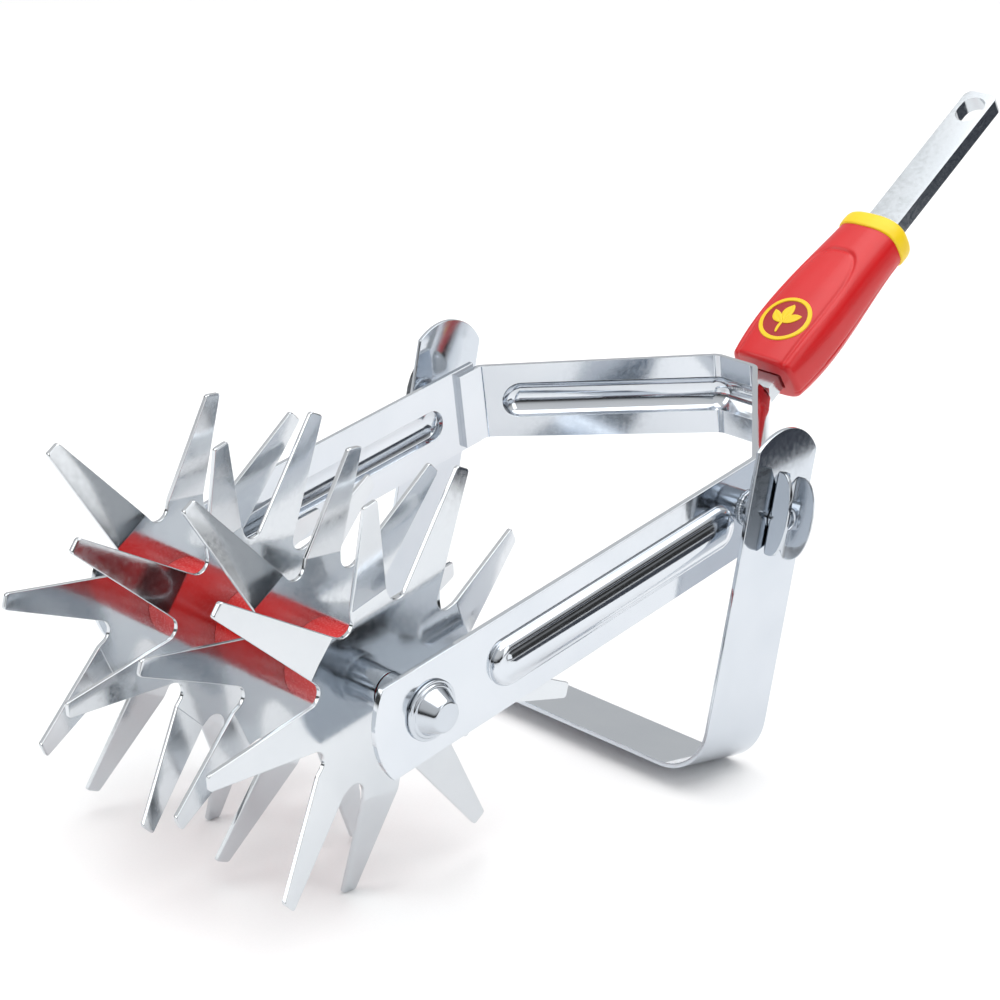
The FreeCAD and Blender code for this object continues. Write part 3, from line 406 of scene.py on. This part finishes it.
def axle_cap(name, side):
    """Pressed push-on cap: rolled rim, small step, cone and flat nose."""
    mesh = turned("axle_cap_" + name, rounded(CAP_PROFILE, 0.5))
    place = side_place(side, ARM_FACE)
    finish_piece(
        "axle_cap_%s_pressed" % name, mesh, place, ZINC_TURNED, "frame",
        ("axle_cap_" + name,),
    )


# ---------------------------------------------------------------- pivot studs
SHOULDER = 12.5
SHOULDER_RADIUS = 6.5
SHOULDER_EASE = 0.5
THREAD_END = 20.0
THREAD_PITCH = 1.25
THREAD_RADIUS = 3.98
THREAD_DEPTH = 0.62
THREAD_TAPER = 0.8
STEPS_A_TURN = 8


def pivot_stud(name, side):
    """Shouldered stud whose thin end carries a rolled thread."""
    segments = 48
    foot = [
        (0, SHOULDER_RADIUS), (SHOULDER - SHOULDER_EASE, SHOULDER_RADIUS),
        (SHOULDER, SHOULDER_RADIUS - SHOULDER_EASE), (SHOULDER, 3.9),
    ]
    rows = [[(x, y, z) for y, z in circle(radius, segments)] for x, radius in rounded(foot, 0.3)]
    steps = int((THREAD_END - SHOULDER) / THREAD_PITCH * STEPS_A_TURN)
    for step in range(1, steps + 1):
        x = SHOULDER + (THREAD_END - SHOULDER) * step / steps
        ease = min(1.0, THREAD_END - x)
        ring = []
        for i, (y, z) in enumerate(circle(1, segments)):
            turn = (x / THREAD_PITCH - i / segments) % 1.0
            depth = THREAD_DEPTH * abs(2 * turn - 1)
            radius = THREAD_RADIUS - depth * ease - THREAD_TAPER * (1 - ease)
            ring.append((x, radius * y, radius * z))
        rows.append(ring)
    mesh = ring_mesh("pivot_stud_" + name, rows, capped=True)
    place = side_place(side, ARM_FACE, PIVOT_REACH)
    finish_piece(
        "pivot_stud_%s_threaded" % name, mesh, place, ZINC_TURNED, "frame",
        ("pivot_stud_" + name,),
    )


# ---------------------------------------------------------------- wing nuts
NUT_GAUGE = 1.6
NUT_HALF = 6.5
NUT_WING = 11.75
NUT_FLARE = math.radians(14)
NUT_BEND = 2.6
NUT_LOBE = 17.6
NUT_SADDLE = 10.5
NUT_SKEW = 1.5
NUT_LIFT = 1.5
SLIT_TALL = 3.6
SLIT_LONG = 4.5
SLIT_INSET = 2.2
SLIT_BELOW = 0.4
# shares of a wing's height: where its ends begin to round, and how far they take to meet
LOBE_STRAIGHT = 0.22
LOBE_ROUND = 0.79


def folded(reach):
    """Height and offset of the folded sheet's middle, a distance out from its centre."""
    height = NUT_GAUGE / 2
    flat = NUT_HALF - NUT_BEND
    if reach <= flat:
        return height, reach
    full = math.pi / 2 - NUT_FLARE
    turn = min(1.0, (reach - flat) / (NUT_BEND * full)) * full
    rest = max(0.0, reach - flat - NUT_BEND * full)
    height += NUT_BEND * (1 - math.cos(turn)) + rest * math.cos(NUT_FLARE)
    return height, flat + NUT_BEND * math.sin(turn) + rest * math.sin(NUT_FLARE)


def lobe_length(reach):
    """Half length of the sheet: a short saddle that widens into a round-ended wing."""
    if reach < NUT_HALF:
        return NUT_SADDLE + (NUT_LOBE - NUT_SADDLE) * (reach / NUT_HALF) ** 2.2
    top = (reach - NUT_HALF) / (NUT_WING - NUT_GAUGE)
    return NUT_LOBE * math.sqrt(max(0.0, 1 - max(0.0, (top - LOBE_STRAIGHT) / LOBE_ROUND) ** 2.3))


def wing_nut(name, side):
    """Pressed sheet nut: two offset wings, slit beside the barrel, and a low saddle."""
    across, along = 64, 64
    span = NUT_HALF + NUT_WING - NUT_GAUGE
    work = bmesh.new()
    rows = []
    for i in range(across + 1):
        u = -1 + 2 * i / across
        reach = abs(u) * span
        height, out = folded(reach)
        length = max(0.6, lobe_length(reach))
        skew = (NUT_LIFT - math.copysign(NUT_SKEW, u)) * min(1.0, reach / NUT_HALF) ** 2
        row = []
        for j in range(along + 1):
            z = skew + length * (-1 + 2 * j / along)
            row.append(work.verts.new((height, math.copysign(out, u), z)))
        rows.append((row, reach, skew))
    for (first, reach, skew), (second, _reach, _skew) in zip(rows, rows[1:]):
        past = reach - NUT_HALF + SLIT_INSET
        opening = SLIT_TALL * (1 - past / SLIT_LONG)
        for j in range(along):
            z = (first[j].co.z + second[j + 1].co.z) / 2 - skew * 0.5
            if 0 < past < SLIT_LONG and -opening < z < opening * SLIT_BELOW:
                continue
            work.faces.new((first[j], first[j + 1], second[j + 1], second[j]))
    loose = [vert for vert in work.verts if not vert.link_faces]
    bmesh.ops.delete(work, geom=loose, context="VERTS")
    mesh = bpy.data.meshes.new("wing_nut_" + name)
    work.to_mesh(mesh)
    work.free()
    mesh = thickened(mesh, NUT_GAUGE, 0.3)
    place = side_place(side, NUT_FACE, PIVOT_REACH, STRAP_SLANT)
    finish_piece(
        "wing_nut_%s_sheet" % name, mesh, place, ZINC_TURNED, "wing_nut_" + name,
        ("wing_nut_" + name,), sharp=50,
    )


def nut_barrel(name, side):
    """Drawn barrel with a rolled lip around its bore."""
    profile = [(0.1, 4.1), (0.1, 6.4), (4.8, 5.9), (5.9, 5.5), (5.9, 4.1), (0.1, 4.1)]
    mesh = turned("nut_barrel_" + name, rounded(profile, 0.6))
    place = side_place(side, NUT_FACE, PIVOT_REACH)
    finish_piece(
        "wing_nut_%s_barrel" % name, mesh, place, ZINC_TURNED, "wing_nut_" + name,
    )


# ---------------------------------------------------------------- grip, collar and badge
# place along the bar, half width, half thickness, lift over the bar and boxiness
GRIP_SECTIONS = (
    (21, 17.2, 12.8, 1.1, 3.9),
    (53, 19.5, 14.8, 1.1, 3.7),
    (82, 18.1, 13.9, 1.1, 3.3),
    (110.5, 16.6, 12.7, 0.0, 2.9),
)
GRIP_START = GRIP_SECTIONS[0][0]
GRIP_END = GRIP_SECTIONS[-1][0]
BAR_HALF = 9.1
BAR_RISE = 4.1
PANEL_HALF = 15.0
PANEL_LOW_HALF = 13.6
PANEL_WIDEST = 50.0
PANEL_APEX = 93.0
PANEL_SUNK = 0.6
GROOVE_DEEP = 0.8
GROOVE_HALF = 1.0
PANEL_POWER = 3
SEAM_HEIGHT = -6.5
SEAM_HALF = 0.45
SEAM_DEEP = 0.35
END_ROUND = 2.2
COLLAR = 9.5


def along_grip(place, column):
    """Smooth value of one column of the grip's sections, by the cubic through all four."""
    total = 0.0
    for section in GRIP_SECTIONS:
        share = section[column]
        for other in GRIP_SECTIONS:
            if other[0] != section[0]:
                share *= (place - other[0]) / (section[0] - other[0])
        total += share
    return total


def superellipse(half_x, half_z, power, count):
    """Closed rounded section, with its points evenly spaced along it."""
    fine = []
    for i in range(count * 12 + 1):
        angle = math.tau * i / (count * 12)
        x = half_x * math.copysign(abs(math.cos(angle)) ** (2 / power), math.cos(angle))
        z = half_z * math.copysign(abs(math.sin(angle)) ** (2 / power), math.sin(angle))
        fine.append((x, z))
    lengths = [0.0]
    for first, second in zip(fine, fine[1:]):
        lengths.append(lengths[-1] + math.dist(first, second))
    points, k = [], 0
    for i in range(count):
        wanted = lengths[-1] * i / count
        while lengths[k + 1] < wanted:
            k += 1
        t = (wanted - lengths[k]) / (lengths[k + 1] - lengths[k])
        points.append(tuple(a + (b - a) * t for a, b in zip(fine[k], fine[k + 1])))
    return points


def smooth(low, high, value):
    """0 below low, 1 above high and an even ease between them."""
    t = min(1.0, max(0.0, (value - low) / (high - low)))
    return t * t * (3 - 2 * t)


def panel_level(x, place):
    """1 on the thumb panel's edge line, less inside and more outside."""
    if place < PANEL_WIDEST:
        below = (PANEL_WIDEST - place) / (PANEL_WIDEST - GRIP_START)
        half = PANEL_HALF + (PANEL_LOW_HALF - PANEL_HALF) * below
        return (abs(x) / half) ** PANEL_POWER
    run = (place - PANEL_WIDEST) / (PANEL_APEX - PANEL_WIDEST)
    return (abs(x) / PANEL_HALF) ** PANEL_POWER + run ** PANEL_POWER


def panel_sink(x, place):
    """How deep the thumb panel and the groove around it lie under the grip's skin."""
    step = 0.05
    level = panel_level(x, place)
    slope = math.hypot(
        panel_level(x + step, place) - panel_level(x - step, place),
        panel_level(x, place + step) - panel_level(x, place - step),
    ) / (2 * step)
    away = (level - 1) / max(slope, 0.02)
    groove = math.exp(-((away / GROOVE_HALF) ** 2)) * GROOVE_DEEP
    return groove + PANEL_SUNK * (1 - smooth(-GROOVE_HALF, GROOVE_HALF, away))


def skin_height(x, place):
    """Height of the grip's top over the bar's middle."""
    half_x, half_z, lift, power = (along_grip(place, column) for column in (1, 2, 3, 4))
    crown = (1 - min(0.999, abs(x) / half_x) ** power) ** (1 / power)
    return lift + half_z * crown - panel_sink(x, place)


def make_grip():
    """Moulded grip: boxy belly, sunk thumb panel inside a groove, seam and round end."""
    count = 220
    rows = []
    places = [GRIP_START + END_ROUND * (1 - math.cos(math.pi / 2 * i / 8)) for i in range(8)]
    steps = 190
    first = GRIP_START + END_ROUND
    places += [first + (GRIP_END - first) * i / steps for i in range(steps + 1)]
    for place in places:
        inset = max(0.0, 1 - (place - GRIP_START) / END_ROUND)
        inset = END_ROUND * (1 - math.sqrt(1 - inset ** 2))
        half_x, half_z, lift, power = (along_grip(place, column) for column in (1, 2, 3, 4))
        row = []
        for x, z in superellipse(half_x - inset, half_z - inset, power, count):
            out = Vector((
                math.copysign((abs(x) / half_x) ** (power - 1) / half_x, x),
                math.copysign((abs(z) / half_z) ** (power - 1) / half_z, z),
            )).normalized()
            sink = panel_sink(x, place) * smooth(0, half_z * 0.4, z)
            if abs(x) > half_x * 0.8:
                sink += math.exp(-(((z - SEAM_HEIGHT) / SEAM_HALF) ** 2)) * SEAM_DEEP
            row.append((x - out.x * sink, place, z - out.y * sink + lift))
        rows.append(row)
    bore = superellipse(BAR_HALF, BAR_RISE, 14, count)
    rows.append([(x, GRIP_END, z) for x, z in bore])
    rows.append([(x, GRIP_START + 1.5, z) for x, z in bore])
    rows.append([(x * 1.1, GRIP_START, z * 1.15) for x, z in bore])
    mesh = ring_mesh("grip", rows)
    finish_piece("grip_moulding", mesh, HANDLE, GRIP_RED, "frame", ("grip_sleeve",), sharp=50)


def make_collar():
    """Yellow end ring with a soft outer edge, standing a little proud of the grip."""
    half_x, half_z, power = 17.5, 13.6, 2.8
    profile = (
        (0, 0.9), (0.25, 0.3), (0.8, 0), (4, -0.1), (6.6, 0.1),
        (7.9, 0.5), (8.8, 1.2), (9.3, 2.1), (COLLAR, 3.2),
    )
    rows = []
    for place, inset in rounded(profile, 0.4, 3):
        section = superellipse(half_x - inset, half_z - inset, power, 160)
        rows.append([(x, GRIP_END + place, z) for x, z in section])
    bore = superellipse(BAR_HALF, BAR_RISE, 14, 160)
    rows.append([(x * 1.03, GRIP_END + COLLAR, z * 1.06) for x, z in bore])
    rows.append([(x, GRIP_END + COLLAR - 0.4, z) for x, z in bore])
    rows.append([(x, GRIP_END, z) for x, z in bore])
    mesh = ring_mesh("collar", rows)
    finish_piece(
        "collar_moulding", mesh, HANDLE, COLLAR_YELLOW, "frame", ("collar_ring",), sharp=50,
    )


BADGE_PLACE = 45.0
BADGE_RADIUS = 13.0
BADGE_RIM = 2.1
RIM_EASE = 0.25
RIM_TOP = 0.5
RIM_FOOT = -0.8
FIELD_TOP = 0.06
FIELD_FOOT = -0.6


def on_skin(points, height):
    """Points on the grip's top, raised by a height; each is across and along."""
    return [(x, y, skin_height(x, y) + height) for x, y in points]


def badge_ring():
    """Raised yellow ring moulded into the panel."""
    section = (
        (0.0, RIM_FOOT), (0.0, RIM_EASE), (RIM_EASE, RIM_TOP),
        (BADGE_RIM - RIM_EASE, RIM_TOP), (BADGE_RIM, RIM_EASE), (BADGE_RIM, RIM_FOOT),
    )
    rows = []
    for inward, height in section:
        around = circle(BADGE_RADIUS - inward, 120)
        rows.append(on_skin([(x, BADGE_PLACE + y) for x, y in around], height))
    mesh = ring_mesh("badge_ring", rows)
    finish_piece("badge_ring", mesh, HANDLE, BADGE_YELLOW, "frame", ("emblem_badge",))


def badge_field():
    """Dull red disc sunk inside the ring."""
    levels = [(0.02, FIELD_FOOT), (1.0, FIELD_FOOT)]
    levels += [(share, FIELD_TOP) for share in (1.0, 0.75, 0.5, 0.25, 0.02)]
    rows = []
    for share, height in levels:
        around = circle((BADGE_RADIUS - BADGE_RIM + 0.2) * share, 96)
        rows.append(on_skin([(x, BADGE_PLACE + y) for x, y in around], height))
    mesh = ring_mesh("badge_field", rows, capped=True)
    finish_piece("badge_field", mesh, HANDLE, BADGE_RED, "frame")


def leaf_shape(foot, tip, half_width, blunt):
    """Closed raised leaf or stem from foot to tip, in badge coordinates."""
    start, end = Vector(foot), Vector(tip)
    run = end - start
    across = Vector((-run.y, run.x)).normalized()
    steps, wide = 26, 8
    rows = []
    for i in range(steps + 1):
        t = i / steps
        half = max(0.05, half_width * math.sin(math.pi * t) ** blunt)
        middle = start + run * t + across * (run.length * 0.07 * math.sin(math.pi * t))
        top, low = [], []
        for j in range(wide + 1):
            v = -1 + 2 * j / wide
            x, y = middle + across * half * v
            y += BADGE_PLACE
            crease = 0.14 if abs(v) < 0.13 and half > 1 else 0.0
            edge = 0.16 * abs(v) ** 6
            top.append((x, y, skin_height(x, y) + 0.5 - crease - edge))
            low.append((x, y, skin_height(x, y) - 0.3))
        rows.append(top + list(reversed(low)))
    return ring_mesh("leaf", rows, capped=True)


def badge_sprout():
    """Generic three-leaved sprout in the middle of the badge."""
    leaves = (
        ((0.0, -1.5), (0.0, 8.6), 2.7, 0.75), ((-0.4, -2.6), (-7.6, 3.4), 2.3, 0.75),
        ((0.4, -2.6), (7.6, 3.4), 2.3, 0.75), ((0.0, -8.6), (0.0, -1.0), 0.75, 0.25),
    )
    work = bmesh.new()
    for leaf in leaves:
        work.from_mesh(leaf_shape(*leaf))
    mesh = bpy.data.meshes.new("badge_sprout")
    work.to_mesh(mesh)
    work.free()
    finish_piece("badge_sprout", mesh, HANDLE, BADGE_YELLOW, "frame")


# ---------------------------------------------------------------- weld beads
RIPPLE_OVERLAP = 2.6
STUD_BEAD_RADIUS = 6.9
FOOT_PLACE = 6.2
FOOT_LEAN = 0.12


def ripple_tree():
    """Geometry nodes that lay overlapping weld ripples along a path of edges."""
    tree = bpy.data.node_groups.new("weld ripples", "GeometryNodeTree")
    tree.interface.new_socket("Geometry", in_out="OUTPUT", socket_type="NodeSocketGeometry")
    tree.interface.new_socket("Geometry", in_out="INPUT", socket_type="NodeSocketGeometry")
    for name in ("Pitch", "Bead Width", "Bead Height"):
        tree.interface.new_socket(name, in_out="INPUT", socket_type="NodeSocketFloat")
    tree.interface.new_socket("Seed", in_out="INPUT", socket_type="NodeSocketInt")
    tree.interface.new_socket("Finish", in_out="INPUT", socket_type="NodeSocketMaterial")
    given = add(tree, "NodeGroupInput").outputs
    path = add(tree, "GeometryNodeMeshToCurve", {0: given["Geometry"]})
    even = add(
        tree, "GeometryNodeResampleCurve", {"Curve": path.outputs[0], "Length": given["Pitch"]},
        mode="LENGTH",
    )
    ripple = add(tree, "GeometryNodeMeshUVSphere", {"Segments": 14, "Rings": 9, "Radius": 0.5})
    along = add(tree, "GeometryNodeInputTangent")
    facing = add(tree, "FunctionNodeAlignRotationToVector", {"Vector": along.outputs[0]}, axis="X")
    uneven = add(
        tree, "FunctionNodeRandomValue",
        {"Min": (0.82, 0.86, 0.8), "Max": (1.15, 1.12, 1.2), "Seed": given["Seed"]},
        data_type="FLOAT_VECTOR",
    )
    long = add(tree, "ShaderNodeMath", {0: given["Pitch"], 1: RIPPLE_OVERLAP}, operation="MULTIPLY")
    size = add(
        tree, "ShaderNodeCombineXYZ",
        {"X": long.outputs[0], "Y": given["Bead Width"], "Z": given["Bead Height"]},
    )
    scale = add(
        tree, "ShaderNodeVectorMath", {0: uneven.outputs[0], 1: size.outputs[0]}, operation="MULTIPLY",
    )
    laid = add(
        tree, "GeometryNodeInstanceOnPoints",
        {"Points": even.outputs[0], "Instance": ripple.outputs[0], "Rotation": facing.outputs[0],
         "Scale": scale.outputs[0]},
    )
    real = add(tree, "GeometryNodeRealizeInstances", {0: laid.outputs[0]})
    painted = add(tree, "GeometryNodeSetMaterial", {"Geometry": real.outputs[0], "Material": given["Finish"]})
    add(tree, "NodeGroupOutput", {"Geometry": painted.outputs[0]})
    return tree


RIPPLES = ripple_tree()


def weld_bead(name, points, width, height, pitch, seed, stands_for=()):
    """Weld bead along a path of points in metres."""
    line = bpy.data.meshes.new(name + "_path")
    line.from_pydata(points, [(i, i + 1) for i in range(len(points) - 1)], [])
    runner = linked(name + "_path", line)
    layer = runner.modifiers.new("ripples", "NODES")
    layer.node_group = RIPPLES
    values = {
        "Pitch": pitch * MM, "Bead Width": width * MM, "Bead Height": height * MM, "Seed": seed,
        "Finish": ZINC_WELD,
    }
    for socket in RIPPLES.interface.items_tree:
        if socket.in_out == "INPUT" and socket.name in values:
            layer[socket.identifier] = values[socket.name]
    mesh = baked(runner)
    bpy.data.objects.remove(runner)
    finish_piece(name, mesh, Matrix.Identity(4), ZINC_WELD, "frame", stands_for)


def make_welds():
    """Beads around the studs, down the arm ends, and around the foot of the bar."""
    for name, side in SIDES:
        place = side_place(side, ARM_FACE, PIVOT_REACH)
        around = circle(STUD_BEAD_RADIUS, 48)
        ring = [place @ Vector((0.5, y, z)) for y, z in around + around[:1]]
        weld_bead("stud_bead_" + name, ring, 2.2, 2.2, 1.1, 3 + side, stands_for=("stud_weld_" + name,))
        inner = side * (ARM_FACE - ARM_GAUGE)
        upright = [TOOL @ Vector((inner + side * 0.6, ARM_REAR + 0.5, z)) for z in range(-14, 15)]
        weld_bead("arm_bead_" + name, upright, 2.6, 2.4, 1.3, 11 + side, stands_for=("yoke_weld_" + name,))
    eased_edges("tang_weld", ZINC_WELD, "frame", width_mm=1.6)
    section = superellipse(11.2, 6.4, 3.2, 56)
    ring = [HANDLE @ Vector((x, FOOT_PLACE + FOOT_LEAN * z, z)) for x, z in section + section[:1]]
    weld_bead("bar_foot_bead", ring, 3.0, 2.4, 1.5, 31)


for side_name, side in SIDES:
    axle_cap(side_name, side)
    pivot_stud(side_name, side)
    wing_nut(side_name, side)
    nut_barrel(side_name, side)
make_grip()
make_collar()
badge_ring()
badge_field()
badge_sprout()
make_welds()


# ---------------------------------------------------------------- stage, light, camera
FLOOR_HALF = 9
CARD_NEAR = (0.31, 0.13)
CARD_FAR = (1.6, 1.6)
CARD_LIFT = 0.001


def matt_paper():
    """Uncoated paper: near white and quite dull, with fibres about a millimetre wide."""
    made, tree, shader, place = surface("matt white paper")
    fibre = add(tree, "ShaderNodeTexNoise", {"Vector": place, "Scale": 900.0, "Detail": 2.0})
    tone = add(
        tree, "ShaderNodeMix", {0: fibre.outputs[0], 6: linear("FCFCFC"), 7: linear("F7F7F7")},
        data_type="RGBA",
    )
    tree.links.new(tone.outputs[2], shader.inputs["Base Color"])
    shader.inputs["Roughness"].default_value = 0.9
    return made


def navy_felt():
    """Wool felt: dark and without gloss."""
    made, _tree, shader, _place = surface("navy felt")
    shader.inputs["Base Color"].default_value = linear("1E2430")
    shader.inputs["Roughness"].default_value = 0.95
    return made


def level_sheet(name, low, high, height, finish):
    """Level rectangle between two opposite corners."""
    mesh = bpy.data.meshes.new(name)
    corners = [(low[0], low[1]), (high[0], low[1]), (high[0], high[1]), (low[0], high[1])]
    mesh.from_pydata([(x, y, height) for x, y in corners], [], [(0, 1, 2, 3)])
    mesh.materials.append(finish)
    return linked(name, mesh)


floor = level_sheet("floor", (-FLOOR_HALF, -FLOOR_HALF), (FLOOR_HALF, FLOOR_HALF), 0, matt_paper())

# The dark card lies beyond the right side of the tool. Only mirrored light meets it.
card = level_sheet("dark_card", CARD_NEAR, CARD_FAR, CARD_LIFT, navy_felt())
card.visible_camera = False
card.visible_diffuse = False
card.visible_shadow = False


def studio_sky():
    """Room that the metal mirrors: dark low walls, one white backdrop and a bright ceiling."""
    world = bpy.data.worlds.new("studio")
    bpy.context.scene.world = world
    world.use_nodes = True
    sky = world.node_tree
    sky.nodes.clear()
    ray = add(sky, "ShaderNodeTexCoord").outputs["Generated"]
    height = add(sky, "ShaderNodeSeparateXYZ", {0: ray}).outputs["Z"]
    band = add(sky, "ShaderNodeValToRGB", {0: height})
    stops = band.color_ramp.elements
    stops.remove(stops[1])
    for position, grey in (
        (0.0, 0.10), (0.05, 0.05), (0.16, 0.05), (0.26, 0.55), (0.42, 0.95), (1.0, 1.15),
    ):
        stop = stops.new(position) if position > 0 else stops[0]
        stop.position = position
        stop.color = (grey, grey, grey, 1)
    # the backdrop stands behind the tool, to the left of its handle
    behind = add(sky, "ShaderNodeVectorMath", {0: ray, 1: (-0.69, 0.72, 0.0)}, operation="DOT_PRODUCT")
    backdrop = add(
        sky, "ShaderNodeMapRange",
        {"Value": behind.outputs["Value"], "From Min": 0.45, "From Max": 0.8, "To Min": 0.0, "To Max": 0.9},
        interpolation_type="SMOOTHSTEP",
    )
    level = add(sky, "ShaderNodeMath", {0: band.outputs[0], 1: backdrop.outputs[0]}, operation="MAXIMUM")
    glow = add(sky, "ShaderNodeBackground", {"Color": level.outputs[0], "Strength": 0.72})
    add(sky, "ShaderNodeOutputWorld", {"Surface": glow.outputs[0]})


studio_sky()


def softbox(name, place, aim, size, power):
    """Rectangular area light that faces a point."""
    light = bpy.data.lights.new(name, "AREA")
    light.shape = "RECTANGLE"
    light.size, light.size_y = size
    light.energy = power
    lamp = linked(name, light)
    lamp.location = place
    lamp.rotation_euler = (Vector(aim) - Vector(place)).to_track_quat("-Z", "Y").to_euler()


softbox("overhead softbox", (0.1, 0.3, 1.9), (0, 0, 0.1), (2.4, 2.4), 30)
softbox("front softbox", (-0.9, -1.6, 1.1), (0, -0.05, 0.1), (1.2, 1.4), 9)
softbox("right strip", (1.9, 0.2, 0.9), (0, 0, 0.1), (0.8, 1.6), 5)

CAMERA_AIM = Vector((0.06692, -0.13555, 0.15232))
CAMERA_AZIMUTH = math.radians(43.704)
CAMERA_ELEVATION = math.radians(22.430)
CAMERA_ROLL = math.radians(0.509)
CAMERA_DISTANCE = 1.0
CAMERA_LENS = 94.53
SENSOR_WIDTH = 36
lens = bpy.data.cameras.new("camera")
lens.sensor_width = SENSOR_WIDTH
lens.lens = CAMERA_LENS
camera = linked("camera", lens)
toward = Vector((
    math.sin(CAMERA_AZIMUTH) * math.cos(CAMERA_ELEVATION),
    -math.cos(CAMERA_AZIMUTH) * math.cos(CAMERA_ELEVATION),
    math.sin(CAMERA_ELEVATION),
))
camera.location = CAMERA_AIM + toward * CAMERA_DISTANCE
aimed = (-toward).to_track_quat("-Z", "Y").to_matrix().to_4x4()
camera.matrix_world = Matrix.Translation(camera.location) @ aimed @ Matrix.Rotation(CAMERA_ROLL, 4, "Z")
bpy.context.scene.camera = camera
# Standard keeps the plastics as clear a red and yellow as their hex values say
bpy.context.scene.view_settings.view_transform = "Standard"
